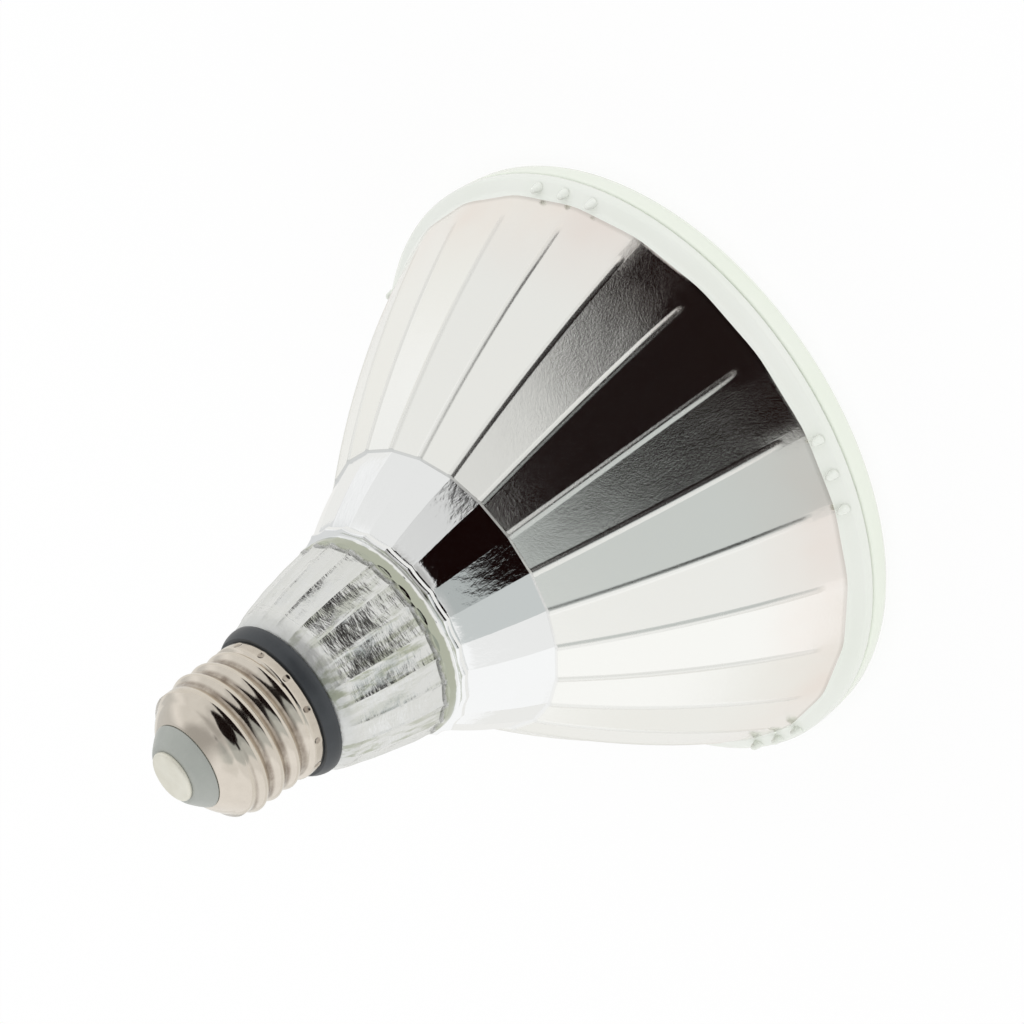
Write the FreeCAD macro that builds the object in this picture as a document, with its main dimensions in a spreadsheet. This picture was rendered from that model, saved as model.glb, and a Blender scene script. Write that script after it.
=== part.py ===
import FreeCAD, Part
import math
import os

import Sketcher

# Reflector lamp with a ribbed pressed-glass body, a front lens and a screw cap.
# Millimetres. The lens rim stands on z = 0 and +Z runs along the lamp's axis to the cap.

# Driving sizes. Heights are measured from the lens rim unless the note says otherwise.
SIZES = (
    # Front lens and seam
    ("lens_radius", 60.5, "outer radius of the lens at the seam"),
    ("lens_draft", 0.4, "how much narrower the lens is at its front edge"),
    ("lens_edge_bevel", 1.0, "bevel of the front edge"),
    ("lens_rim_height", 4.4, "height of the lens rim, rim face to seam"),
    ("lens_rim_width", 6.5, "width of the flat front rim"),
    ("window_recess", 0.9, "how deep the window lies behind the rim face"),
    ("window_thickness", 3.0, "glass thickness of the window"),
    ("window_dome", 1.6, "how far the window's middle domes inwards"),
    ("seal_thickness", 0.3, "thickness of the seam between lens and flange"),
    ("seal_width", 2.6, "width of the seam"),
    ("seal_setback", 0.9, "seam's distance from the outer edge"),
    # Pressed-glass reflector, outside
    ("flange_height", 1.7, "height of the flange's upright edge"),
    ("flange_shoulder", 2.6, "width of the flange's sloping shoulder"),
    ("flange_slope", 1.5, "rise of the flange's shoulder"),
    ("flange_bevel", 0.9, "bevel between flange edge and shoulder"),
    ("cone_height", 44.5, "height of the ribbed cone"),
    ("cone_top_radius", 29.4, "radius of the cone at the step, on its ribs' line"),
    ("cone_crown", 230.0, "radius of the cone's bulge"),
    ("collar_height", 14.0, "height of the faceted collar above the step"),
    ("collar_top_radius", 20.7, "radius to the collar's flats at its top"),
    ("collar_crown", 80.0, "radius of the collar's bulge"),
    ("collar_flat_depth", 0.3, "depth of the collar's flats at its top"),
    ("step_depth", 0.55, "how far the collar's flats lie inside the cone's"),
    ("bead_height", 1.4, "height of the bead"),
    ("bead_stand", 0.45, "how far the bead stands out"),
    ("band_height", 3.2, "height of the smooth band above the bead"),
    ("band_radius", 19.8, "radius of the smooth band"),
    ("neck_height", 17.4, "height of the fluted neck"),
    ("neck_top_radius", 15.8, "radius of the neck where it rounds in"),
    ("neck_crown", 90.0, "radius of the neck's bulge"),
    ("mouth_height", 2.5, "height of the rounding at the neck's mouth"),
    ("mouth_round", 3.0, "radius of that rounding"),
    ("mouth_face", 13.8, "outer radius of the flat face at the mouth"),
    # Flats, ribs, flutes and nubs
    ("panel_count", 24, "panels, ribs and flutes around the glass"),
    ("panel_depth", 0.75, "depth of the panels at the step"),
    ("panel_start", 2.0, "where the panels begin above the flange"),
    ("flute_depth", 0.32, "depth of the neck's flutes"),
    ("rib_half_width", 0.9, "half the width of a rib"),
    ("rib_height", 0.5, "how far a rib stands out of the cone"),
    ("rib_start", 5.2, "where the ribs begin above the flange"),
    ("nub_radius", 0.9, "radius of a nub's foot on the flange"),
    ("nub_tip", 0.5, "radius of a nub's tip"),
    ("nub_height", 1.9, "height of a nub"),
    ("nub_phase", 30.0, "degrees from +X to the middle of the first group"),
    ("nub_spacing", 6.5, "degrees between the nubs of a group"),
    ("nub_groups", 5, "groups of nubs around the flange"),
    # Pressed-glass reflector, inside
    ("mirror_rim_width", 4.5, "width of the glass rim around the silvered bowl"),
    ("mirror_rim_height", 2.0, "height of the bowl's lip above the seam"),
    ("mirror_crown", 230.0, "radius of the bowl's bulge"),
    ("glass_wall", 2.4, "wall between the bowl and the panels at the step"),
    ("seat_drop", 2.4, "how far the ledge for the heat spreader lies below the collar's top"),
    ("seat_wall", 2.4, "wall between the bowl and the collar at the ledge"),
    ("neck_wall", 2.6, "wall of the neck"),
    ("seat_width", 2.3, "width of the ledge"),
    ("mouth_bore", 12.4, "radius of the neck's mouth"),
    # Collar moulding
    ("ring_radius", 14.6, "outer radius of the grey ring"),
    ("ring_height", 2.7, "height of the grey ring"),
    ("ring_edge", 0.6, "height of the ring's upright edge"),
    ("ring_top_radius", 13.7, "radius of the ring below the cap"),
    ("ring_crown", 4.0, "radius of the ring's bulge"),
    ("tube_clearance", 0.4, "gap between the tube and the neck's mouth"),
    ("tube_wall", 1.2, "wall of the driver's tube"),
    ("spigot_wall", 1.2, "wall of the spigot inside the cap"),
    ("spigot_height", 13.3, "height of the spigot above the ring"),
    ("cement_height", 5.5, "height of the cement bead"),
    ("cement_drop", 3.9, "cement bead's distance below the mouth"),
    # Cap
    ("shell_radius", 13.15, "radius of the plain band"),
    ("shell_root", 12.1, "radius of the shell between the thread's crests"),
    ("thread_depth", 0.95, "depth of the thread"),
    ("thread_pitch", 3.629, "pitch of the thread"),
    ("thread_half_width", 1.65, "half the width of the thread's crest at its foot"),
    ("thread_top_half", 0.65, "half the width of the crest's top"),
    ("thread_start", 1.8, "height of the crest's first end above the shell's open end"),
    ("thread_phase", 160.0, "degrees from +X to the crest's first end"),
    ("thread_turns", 3.6, "turns of the thread"),
    ("shell_wall", 0.4, "thickness of the rolled sheet"),
    ("spigot_gap", 0.1, "gap between the spigot and the rolled sheet"),
    ("plain_band", 2.1, "height of the plain band at the open end"),
    ("shell_height", 19.3, "height of the shell"),
    ("dome_round", 9.0, "radius of the shell's domed end"),
    ("dome_height", 4.6, "height of the domed end"),
    ("shell_hole", 8.1, "radius of the hole in the domed end"),
    ("punch_count", 13, "punch dimples around the plain band"),
    ("punch_radius", 0.9, "radius of the punch's round nose"),
    ("punch_depth", 0.25, "depth of a dimple"),
    ("punch_height", 1.4, "height of the dimples above the open end"),
    ("insulator_height", 3.0, "height of the cone above the shell"),
    ("insulator_top", 5.5, "radius of the cone's top"),
    ("insulator_root", 3.4, "depth of the cone's foot inside the shell"),
    ("insulator_key", 1.2, "how far the foot reaches under the shell's end"),
    ("contact_radius", 4.7, "radius of the contact disc"),
    ("contact_height", 0.9, "height of the contact disc"),
    ("contact_round", 0.4, "rounding of the contact disc"),
    ("pin_radius", 1.5, "radius of the contact's pin"),
    ("pin_length", 4.6, "length of the contact's pin"),
    ("pin_clearance", 0.1, "gap around the pin"),
    # Heat spreader and light engine
    ("spreader_thickness", 2.4, "thickness of the spreader's disc"),
    ("spreader_gap", 0.3, "gap between the disc and the bowl"),
    ("skirt_height", 9.0, "height of the spreader's skirt"),
    ("skirt_wall", 1.6, "wall of the skirt"),
    ("skirt_gap", 0.9, "gap between the skirt and the neck"),
    ("pad_thickness", 0.3, "thickness of the thermal pad"),
    ("engine_side", 13.5, "side of the square board"),
    ("engine_thickness", 1.0, "thickness of the square board"),
    ("phosphor_radius", 5.6, "radius of the yellow face"),
    ("phosphor_height", 0.5, "height of the yellow face"),
    ("holder_radius", 15.6, "outer radius of the holder"),
    ("holder_height", 3.0, "height of the holder"),
    ("holder_round", 0.8, "rounding of the holder's front edge"),
    ("holder_window", 6.1, "radius of the holder's window at the board"),
    ("holder_flare", 2.4, "how much the window widens to the front"),
    ("holder_clearance", 0.1, "gap around the board in the holder"),
    ("screw_reach", 12.2, "distance of the screws from the axis"),
    ("screw_radius", 1.25, "radius of a screw's shank"),
    ("screw_head_radius", 2.2, "radius of a screw's head"),
    ("screw_head_height", 1.3, "height of a screw's head"),
    ("screw_length", 4.6, "length of a screw's shank"),
    ("screw_clearance", 0.05, "gap around a screw's shank"),
    ("recess_radius", 0.85, "half the width of the cross recess"),
    ("recess_width", 0.5, "width of the cross recess's arms"),
    # Driver
    ("board_width", 19.0, "width of the driver's board"),
    ("board_thickness", 1.6, "thickness of the driver's board"),
    ("board_lift", 1.5, "board's foot above the spreader's disc"),
    ("board_length", 38.0, "length of the driver's board"),
    ("rail_width", 1.5, "width of the tube's rails beside the board"),
    ("rail_height", 24.0, "height of the tube's rails"),
    ("rail_gap", 0.05, "gap between the board and a rail"),
    ("lead_radius", 0.5, "radius of a lead over its insulation"),
    ("engine_lead_reach", 8.0, "distance of the engine's leads from the axis"),
    ("lead_clearance", 0.2, "gap around a lead in its hole"),
    ("lead_solder", 5.0, "length of a lead's end that lies on the board"),
    ("winding_depth", 8.0, "depth of the transformer's winding"),
    ("winding_width", 7.6, "width of the transformer's winding"),
    ("winding_height", 6.0, "height of the transformer's winding"),
    ("core_depth", 5.0, "depth of the transformer's core"),
    ("core_width", 11.0, "width of the transformer's core"),
    ("core_height", 10.4, "height of the transformer's core"),
    ("core_limb", 1.6, "width of the core's outer limbs"),
    ("core_leg", 3.2, "width of the core's middle leg"),
    ("core_gap", 0.1, "gap between the winding and the core"),
    ("transformer_rise", 9.5, "middle of the transformer above the board's foot"),
    ("bulk_radius", 4.0, "radius of the bulk capacitor"),
    ("bulk_length", 14.0, "length of the bulk capacitor"),
    ("bulk_offset", 3.7, "bulk capacitor's distance from the board's middle line"),
    ("bulk_rise", 23.5, "bulk capacitor's foot above the board's foot"),
    ("output_radius", 3.15, "radius of the output capacitor"),
    ("output_length", 11.0, "length of the output capacitor"),
    ("output_offset", 4.2, "output capacitor's distance from the middle line"),
    ("output_rise", 15.5, "output capacitor's foot above the board's foot"),
    ("film_depth", 6.0, "film capacitor, out from the board"),
    ("film_width", 3.6, "film capacitor, across the board"),
    ("film_height", 9.0, "film capacitor, along the board"),
    ("film_offset", 5.6, "film capacitor's middle from the middle line"),
    ("film_rise", 28.0, "film capacitor's foot above the board's foot"),
    ("choke_radius", 3.0, "radius of the choke's flanges"),
    ("choke_height", 6.4, "height of the choke"),
    ("choke_flange", 1.0, "thickness of the choke's flanges"),
    ("choke_waist", 1.4, "radius of the choke's waist"),
    ("choke_fill", 2.6, "radius of the choke's winding"),
    ("choke_offset", 3.7, "choke's distance from the middle line"),
    ("choke_rise", 16.0, "choke's foot above the board's foot"),
    ("fuse_radius", 1.2, "radius of the fusible resistor"),
    ("fuse_waist", 0.95, "radius of its waist"),
    ("fuse_length", 6.5, "length of the fusible resistor"),
    ("fuse_offset", 2.2, "its distance from the middle line"),
    ("fuse_rise", 30.0, "its foot above the board's foot"),
    ("bridge_side", 4.7, "side of the bridge rectifier"),
    ("bridge_depth", 2.2, "depth of the bridge rectifier"),
    ("bridge_rise", 28.0, "bridge rectifier's foot above the board's foot"),
    ("chip_width", 3.9, "width of the driver chip"),
    ("chip_height", 4.9, "height of the driver chip"),
    ("chip_depth", 1.5, "depth of the driver chip"),
    ("chip_rise", 15.0, "driver chip's foot above the board's foot"),
    ("resistor_width", 3.2, "width of a chip resistor"),
    ("resistor_height", 1.6, "height of a chip resistor"),
    ("resistor_depth", 0.6, "depth of a chip resistor"),
    ("resistor_count", 5, "chip resistors in a row"),
    ("resistor_step", 3.0, "spacing of the chip resistors"),
    ("resistor_offset", 5.4, "their middle from the board's middle line"),
    ("resistor_rise", 10.0, "the first one's foot above the board's foot"),
    ("lead_bend", 1.6, "bend radius of the cap's leads"),
    ("neutral_offset", 8.2, "neutral lead's distance from the middle line"),
)

Vec = FreeCAD.Vector
doc = FreeCAD.newDocument("reflector_lamp")
sheet = doc.addObject("Spreadsheet::Sheet", "Sizes")
for row, (alias, number, note) in enumerate(SIZES, start=1):
    sheet.set(f"A{row}", alias)
    sheet.set(f"B{row}", str(number))
    sheet.set(f"C{row}", note)
    sheet.setAlias(f"B{row}", alias)
doc.recompute()


class Length:
    """A size that knows its number and the expression that gives it."""

    def __init__(self, number, formula):
        self.number = float(number)
        self.formula = formula

    @staticmethod
    def of(value):
        """Return the value as a Length, also where it is a plain number."""
        return value if isinstance(value, Length) else Length(value, repr(value))

    def __add__(self, other):
        other = Length.of(other)
        return Length(self.number + other.number, f"({self.formula} + {other.formula})")

    def __sub__(self, other):
        other = Length.of(other)
        return Length(self.number - other.number, f"({self.formula} - {other.formula})")

    def __mul__(self, other):
        other = Length.of(other)
        return Length(self.number * other.number, f"({self.formula} * {other.formula})")

    def __truediv__(self, other):
        other = Length.of(other)
        return Length(self.number / other.number, f"({self.formula} / {other.formula})")

    def __neg__(self):
        return Length(-self.number, f"(0 - {self.formula})")

    __radd__ = __add__
    __rmul__ = __mul__

    def __rsub__(self, other):
        return Length.of(other) - self

    def __rtruediv__(self, other):
        return Length.of(other) / self


def cosine(angle):
    """Cosine of an angle in degrees."""
    return Length(math.cos(math.radians(angle.number)), f"cos({angle.formula})")


def sine(angle):
    """Sine of an angle in degrees."""
    return Length(math.sin(math.radians(angle.number)), f"sin({angle.formula})")


def root(value):
    """Square root."""
    return Length(math.sqrt(value.number), f"sqrt({value.formula})")


class Sheet:
    """Reads the sheet's cells by their aliases."""

    def __getattr__(self, alias):
        return Length(sheet.get(alias), f"Sizes.{alias}")


size = Sheet()
ZERO = Length(0, "0")


class Arc:
    """Marks the side of an outline that bulges as an arc: left (+1) or right (-1) of its run."""

    def __init__(self, radius, side):
        self.radius = radius
        self.side = side


def arc_centre(start, end, radius, side):
    """Centre of the arc from start to end that bulges to the given side of the run."""
    dx, dy = end[0] - start[0], end[1] - start[1]
    chord = math.hypot(dx, dy)
    reach = math.sqrt(max(radius * radius - chord * chord / 4, 0.0))
    return (
        (start[0] + end[0]) / 2 + side * dy / chord * reach,
        (start[1] + end[1]) / 2 - side * dx / chord * reach,
    )


def new_body(label):
    """Add a body whose label names its file."""
    body = doc.addObject("PartDesign::Body", "Body_" + label)
    body.Label = label
    return body


def plane_of(body, role):
    """Return one of the body's own origin planes or axes."""
    return next(item for item in body.Origin.OriginFeatures if item.Role == role)


def new_sketch(body, name, role, lift=None, turn=None):
    """Add a sketch on an origin plane, lifted along the plane's normal or turned about +Z."""
    sketch = body.newObject("Sketcher::SketchObject", name)
    sketch.AttachmentSupport = [(plane_of(body, role), "")]
    sketch.MapMode = "FlatFace"
    if lift is not None:
        sketch.AttachmentOffset = FreeCAD.Placement(Vec(0, 0, lift.number), FreeCAD.Rotation())
        sketch.setExpression("AttachmentOffset.Base.z", lift.formula)
    if turn is not None:
        rotation = FreeCAD.Rotation(Vec(0, 1, 0), turn.number)
        sketch.AttachmentOffset = FreeCAD.Placement(Vec(0, 0, 0), rotation)
        sketch.setExpression("AttachmentOffset.Rotation.Angle", turn.formula)
    return sketch


def bind_point(sketch, geometry, vertex, point):
    """Tie a vertex of the sketch to two sizes measured from its origin."""
    for kind, axis, value in (("DistanceX", -2, point[0]), ("DistanceY", -1, point[1])):
        if abs(value.number) < 1e-9:
            sketch.addConstraint(Sketcher.Constraint("PointOnObject", geometry, vertex, axis))
            continue
        ends = (-1, 1, geometry, vertex) if value.number > 0 else (geometry, vertex, -1, 1)
        shown = value if value.number > 0 else -value
        index = sketch.addConstraint(Sketcher.Constraint(kind, *ends, shown.number))
        sketch.setExpression(f"Constraints[{index}]", shown.formula)


def draw_outline(sketch, path, closed=True):
    """Draw straight sides and arcs through the points of path, and tie each to its sizes.

    path holds points, each a pair of lengths, and an Arc before a point that an arc leads to.
    """
    points = [item for item in path if not isinstance(item, Arc)]
    bends = {}
    count = 0
    for item in path:
        if isinstance(item, Arc):
            bends[count] = item
        else:
            count += 1
    runs = count if closed else count - 1
    ends = []
    for run in range(runs):
        start = tuple(value.number for value in points[run])
        end = tuple(value.number for value in points[(run + 1) % count])
        bend = bends.get(run + 1)
        if bend is None:
            side = Part.LineSegment(Vec(*start, 0), Vec(*end, 0))
            ends.append((sketch.addGeometry(side, False), 1, 2))
            continue
        centre = arc_centre(start, end, bend.radius.number, bend.side)
        circle = Part.Circle(Vec(*centre, 0), Vec(0, 0, 1), bend.radius.number)
        angles = [math.atan2(y - centre[1], x - centre[0]) for x, y in (start, end)]
        order = (1, 2) if bend.side < 0 else (2, 1)
        if bend.side > 0:
            angles.reverse()
        ends.append((sketch.addGeometry(Part.ArcOfCircle(circle, *angles), False), *order))
        index = sketch.addConstraint(
            Sketcher.Constraint("Radius", ends[-1][0], bend.radius.number)
        )
        sketch.setExpression(f"Constraints[{index}]", bend.radius.formula)
    for run in range(runs):
        following = (run + 1) % runs
        if closed or following > run:
            last, first = ends[run], ends[following]
            sketch.addConstraint(
                Sketcher.Constraint("Coincident", last[0], last[2], first[0], first[1])
            )
        bind_point(sketch, ends[run][0], ends[run][1], points[run])
    if not closed:
        bind_point(sketch, ends[-1][0], ends[-1][2], points[-1])


def draw_circle(sketch, centre, radius):
    """Draw a circle and tie its centre and radius."""
    circle = Part.Circle(Vec(centre[0].number, centre[1].number, 0), Vec(0, 0, 1), radius.number)
    geometry = sketch.addGeometry(circle, False)
    index = sketch.addConstraint(Sketcher.Constraint("Radius", geometry, radius.number))
    sketch.setExpression(f"Constraints[{index}]", radius.formula)
    bind_point(sketch, geometry, 3, centre)


def turned(body, name, path, cut=False):
    """Turn an outline in the XZ plane about +Z, to add or to cut."""
    sketch = new_sketch(body, name + "Outline", "XZ_Plane")
    draw_outline(sketch, path)
    feature = body.newObject("PartDesign::Groove" if cut else "PartDesign::Revolution", name)
    feature.Profile = sketch
    feature.ReferenceAxis = (sketch, ["V_Axis"])
    feature.Angle = 360
    doc.recompute()
    return feature


def bind(target, name, value):
    """Tie one property to a length."""
    target.setExpression(name, value.formula)


def extruded(body, name, sketch, length, cut=False, symmetric=True):
    """Pad or pocket a sketch by a length, to both sides unless symmetric is false."""
    feature = body.newObject("PartDesign::Pocket" if cut else "PartDesign::Pad", name)
    feature.Profile = sketch
    if symmetric:
        feature.SideType = "Symmetric"
    bind(feature, "Length", length)
    doc.recompute()
    return feature


def ball(body, name, centre, radius, cut=False):
    """Add or cut a ball."""
    kind = "PartDesign::SubtractiveSphere" if cut else "PartDesign::AdditiveSphere"
    feature = body.newObject(kind, name)
    bind(feature, "Radius", radius)
    for axis, value in zip("xyz", centre):
        bind(feature, f"Placement.Base.{axis}", value)
    doc.recompute()
    return feature


def around(body, name, features, count):
    """Repeat features evenly about +Z."""
    pattern = body.newObject("PartDesign::PolarPattern", name)
    pattern.Originals = features
    pattern.Axis = (plane_of(body, "Z_Axis"), [""])
    pattern.Angle = 360
    bind(pattern, "Occurrences", count)
    body.Tip = pattern
    doc.recompute()
    return pattern


def block(label, corner, edges):
    """Add a box from its low corner and its three edges."""
    box = doc.addObject("Part::Box", "Box_" + label)
    box.Label = label
    for name, value in zip(("Length", "Width", "Height"), edges):
        bind(box, name, value)
    for axis, value in zip("xyz", corner):
        bind(box, f"Placement.Base.{axis}", value)
    return box


def rod(label, foot, radius, height):
    """Add an upright cylinder."""
    cylinder = doc.addObject("Part::Cylinder", "Rod_" + label)
    cylinder.Label = label
    bind(cylinder, "Radius", radius)
    bind(cylinder, "Height", height)
    for axis, value in zip("xyz", foot):
        bind(cylinder, f"Placement.Base.{axis}", value)
    return cylinder


def without(label, base, tool):
    """Cut one solid from another."""
    cut = doc.addObject("Part::Cut", "Cut_" + label)
    cut.Base = base
    cut.Tool = tool
    cut.Label = label
    return cut


def together(label, shapes):
    """Group separate solids of one kind."""
    group = doc.addObject("Part::Compound", "Group_" + label)
    group.Links = shapes
    group.Label = label
    return group


# Heights that several pieces share
seam_low = size.lens_rim_height
seam_high = seam_low + size.seal_thickness
flange_top = seam_high + size.flange_height
cone_foot = flange_top + size.flange_slope
step = cone_foot + size.cone_height
collar_top = step + size.collar_height
seat_height = collar_top - size.seat_drop
bead_top = collar_top + size.bead_height
band_top = bead_top + size.band_height
neck_top = band_top + size.neck_height
mouth = neck_top + size.mouth_height
ring_top = mouth + size.ring_height
shell_top = ring_top + size.shell_height
cone_foot_radius = size.lens_radius - size.flange_shoulder
mirror_mouth_radius = size.lens_radius - size.mirror_rim_width
half_panel = 180 / size.panel_count
flat_share = cosine(half_panel)


def reflector_glass():
    """Pressed-glass body: flange, ribbed cone, faceted collar, bead, band and fluted neck."""
    body = new_body("reflector_glass")
    bead_radius = size.collar_top_radius + size.bead_stand
    edge_x = size.lens_radius
    turned(body, "Bulk", [
        (ZERO, seam_high),
        (edge_x, seam_high),
        (edge_x, flange_top - size.flange_bevel),
        (edge_x - size.flange_bevel, flange_top),
        (cone_foot_radius, cone_foot),
        Arc(size.cone_crown, -1),
        (size.cone_top_radius, step),
        Arc(size.collar_crown, -1),
        (size.collar_top_radius, collar_top),
        (bead_radius, collar_top + size.bead_stand),
        (bead_radius, bead_top - size.bead_stand),
        (size.band_radius, bead_top),
        (size.band_radius, band_top),
        Arc(size.neck_crown, -1),
        (size.neck_top_radius, neck_top),
        Arc(size.mouth_round, -1),
        (size.mouth_face, mouth),
        (ZERO, mouth),
    ])
    carve_panels(body)
    raise_ribs(body)
    raise_nubs(body)
    hollow_out(body)
    return body


def carve_panels(body):
    """Cut the flats of the cone and the collar and the flutes of the neck."""
    beyond = size.lens_radius
    width = 3 * size.lens_radius * sine(half_panel)
    flat_start = cone_foot + size.panel_start
    share = size.panel_start / size.cone_height
    start_radius = cone_foot_radius - (cone_foot_radius - size.cone_top_radius) * share
    panel_top = size.cone_top_radius - size.panel_depth
    collar_foot = panel_top - size.step_depth
    collar_head = size.collar_top_radius - size.collar_flat_depth
    flute_foot = size.band_radius * flat_share - size.flute_depth
    flute_top = size.neck_top_radius * flat_share - size.flute_depth
    cuts = (
        ("ConeFlat", (start_radius, flat_start), (panel_top, step), size.cone_crown),
        ("CollarFlat", (collar_foot, step), (collar_head, collar_top), size.collar_crown),
        ("Flute", (flute_foot, band_top), (flute_top, neck_top), size.neck_crown),
    )
    pockets = []
    for name, low, high, crown in cuts:
        sketch = new_sketch(body, name + "Outline", "XZ_Plane", turn=half_panel)
        draw_outline(sketch, [
            low,
            (beyond + size.rib_half_width, low[1]),
            (beyond + size.rib_half_width, high[1]),
            high,
            Arc(crown, 1),
        ])
        pockets.append(extruded(body, name, sketch, width, cut=True))
    around(body, "Panels", pockets, size.panel_count)


def raise_ribs(body):
    """Lay a low, narrow rib with sloping sides along each edge between two panels."""
    share = size.rib_start / size.cone_height
    foot = (cone_foot_radius - (cone_foot_radius - size.cone_top_radius) * share,
            cone_foot + size.rib_start)
    route = new_sketch(body, "RibRoute", "XZ_Plane")
    draw_outline(route, [
        (size.cone_top_radius, step),
        Arc(size.cone_crown, 1),
        foot,
    ], closed=False)
    section = new_sketch(body, "RibSection", "XY_Plane", lift=step)
    half = size.rib_half_width
    shoulder = size.cone_top_radius
    crest = size.cone_top_radius + size.rib_height
    inside = size.cone_top_radius - half
    draw_outline(section, [
        (inside, -half),
        (shoulder, -half),
        (crest, -half / 3),
        (crest, half / 3),
        (shoulder, half),
        (inside, half),
    ])
    rib = body.newObject("PartDesign::AdditivePipe", "Rib")
    rib.Profile = section
    rib.Spine = (route, ["Edge1"])
    doc.recompute()
    around(body, "Ribs", [rib], size.panel_count)


def raise_nubs(body):
    """Set groups of three moulded nubs on the flange's shoulder."""
    reach = size.lens_radius - size.flange_shoulder / 2
    level = flange_top - size.flange_slope / 3
    for place in (-1, 0, 1):
        turn = size.nub_phase + place * size.nub_spacing
        nub = body.newObject("PartDesign::AdditiveCone", f"Nub{place + 2}")
        bind(nub, "Radius1", size.nub_radius)
        bind(nub, "Radius2", size.nub_tip)
        bind(nub, "Height", size.nub_height)
        for axis, value in zip("xyz", (reach * cosine(turn), reach * sine(turn), level)):
            bind(nub, f"Placement.Base.{axis}", value)
        doc.recompute()
        around(body, f"NubGroups{place + 2}", [nub], size.nub_groups)


def hollow_out(body):
    """Cut the silvered bowl, the ledge for the heat spreader and the neck's bore."""
    turned(body, "Hollow", bowl_outline(), cut=True)


def bowl_outline():
    """Outline of the space inside the glass."""
    lip = (mirror_mouth_radius, seam_high + size.mirror_rim_height)
    at_step = (panel_inner_radius(), step)
    at_seat = (seat_radius(), seat_height)
    neck_bore = size.band_radius - size.neck_wall
    return [
        (ZERO, seam_high - size.seal_thickness),
        (mirror_mouth_radius, seam_high - size.seal_thickness),
        lip,
        Arc(size.mirror_crown, -1),
        at_step,
        Arc(size.collar_crown, -1),
        at_seat,
        (at_seat[0] - size.seat_width, seat_height),
        (neck_bore, band_top),
        Arc(size.neck_crown, -1),
        (size.neck_top_radius - size.neck_wall, neck_top - size.mouth_height / 2),
        (size.mouth_bore, mouth - size.mouth_height / 2),
        (size.mouth_bore, mouth + size.ring_edge),
        (ZERO, mouth + size.ring_edge),
    ]


def panel_inner_radius():
    """Radius of the bowl at the step."""
    return size.cone_top_radius - size.panel_depth - size.glass_wall


def seat_radius():
    """Radius of the bowl at the ledge."""
    slope = (size.cone_top_radius - size.panel_depth - size.collar_top_radius) / size.collar_height
    return size.collar_top_radius + slope * (collar_top - seat_height) - size.seat_wall


def front_lens():
    """Pressed lens: a flat rim that it can stand on and a recessed, domed window."""
    body = new_body("front_lens")
    front_x = size.lens_radius - size.lens_draft
    window = size.lens_radius - size.lens_rim_width
    dome = size.window_dome
    crown = (window * window + dome * dome) / (2 * dome)
    inside = window + size.lens_edge_bevel
    inside_crown = (inside * inside + dome * dome) / (2 * dome)
    level = size.window_recess
    turned(body, "Lens", [
        (ZERO, level + dome),
        Arc(crown, 1),
        (window, level),
        (window + size.window_recess, ZERO),
        (front_x - size.lens_edge_bevel, ZERO),
        (front_x, size.lens_edge_bevel),
        (size.lens_radius, seam_low),
        (mirror_mouth_radius, seam_low),
        (inside, level + size.window_thickness),
        Arc(inside_crown, -1),
        (ZERO, level + size.window_thickness + dome),
    ])
    return body


def lens_seal():
    """Thin ring of cured sealant in the seam."""
    body = new_body("lens_seal")
    outer = size.lens_radius - size.seal_setback
    turned(body, "Seal", [
        (outer - size.seal_width, seam_low),
        (outer, seam_low),
        (outer, seam_high),
        (outer - size.seal_width, seam_high),
    ])
    return body


# Radii and heights of the collar moulding that other pieces share
tube_outer = size.mouth_bore - size.tube_clearance
tube_bore = tube_outer - size.tube_wall
shell_bore = size.shell_root - size.shell_wall
spigot_outer = shell_bore - size.spigot_gap
spigot_bore = spigot_outer - size.spigot_wall
spigot_top = ring_top + size.spigot_height
board_foot = seat_height + size.board_lift


def base_collar():
    """Moulded ring with the driver's tube below and the cap's spigot above."""
    body = new_body("base_collar")
    turned(body, "Collar", [
        (tube_bore, seat_height),
        (tube_outer, seat_height),
        (tube_outer, mouth),
        (size.ring_radius, mouth),
        (size.ring_radius, mouth + size.ring_edge),
        Arc(size.ring_crown, -1),
        (size.ring_top_radius, ring_top),
        (spigot_outer, ring_top),
        (spigot_outer, spigot_top),
        (spigot_bore, spigot_top),
        (spigot_bore, ring_top),
        (tube_bore, ring_top - size.ring_height),
    ])
    rails = new_sketch(body, "RailOutline", "XY_Plane", lift=seat_height)
    half_board = size.board_width / 2
    slot = size.rail_gap
    reach = tube_bore + size.tube_wall / 2
    for side in (1, -1):
        inner = side * (half_board - size.rail_width / 2)
        outer = side * reach
        floor = side * (half_board + slot)
        draw_outline(rails, [
            (slot, inner),
            (size.rail_width + slot, inner),
            (size.rail_width + slot, outer),
            (-(size.board_thickness + size.rail_width + slot), outer),
            (-(size.board_thickness + size.rail_width + slot), inner),
            (-(size.board_thickness + slot), inner),
            (-(size.board_thickness + slot), floor),
            (slot, floor),
        ])
    extruded(body, "Rails", rails, size.rail_height, symmetric=False)
    return body


def neck_cement():
    """Cement bead between the tube and the neck."""
    body = new_body("neck_cement")
    top = mouth - size.cement_drop
    foot = top - size.cement_height
    bore_low = neck_bore_radius(foot)
    bore_high = neck_bore_radius(top)
    turned(body, "Bead", [
        (tube_outer, foot),
        (bore_low, foot),
        (bore_high, top),
        (tube_outer, top),
    ])
    return body


def neck_bore_radius(level):
    """Radius of the straight line that lies just inside the neck's bulging bore."""
    low = size.band_radius - size.neck_wall
    high = size.neck_top_radius - size.neck_wall
    rise = neck_top - size.mouth_height / 2 - band_top
    return low - (low - high) * (level - band_top) / rise


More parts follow.
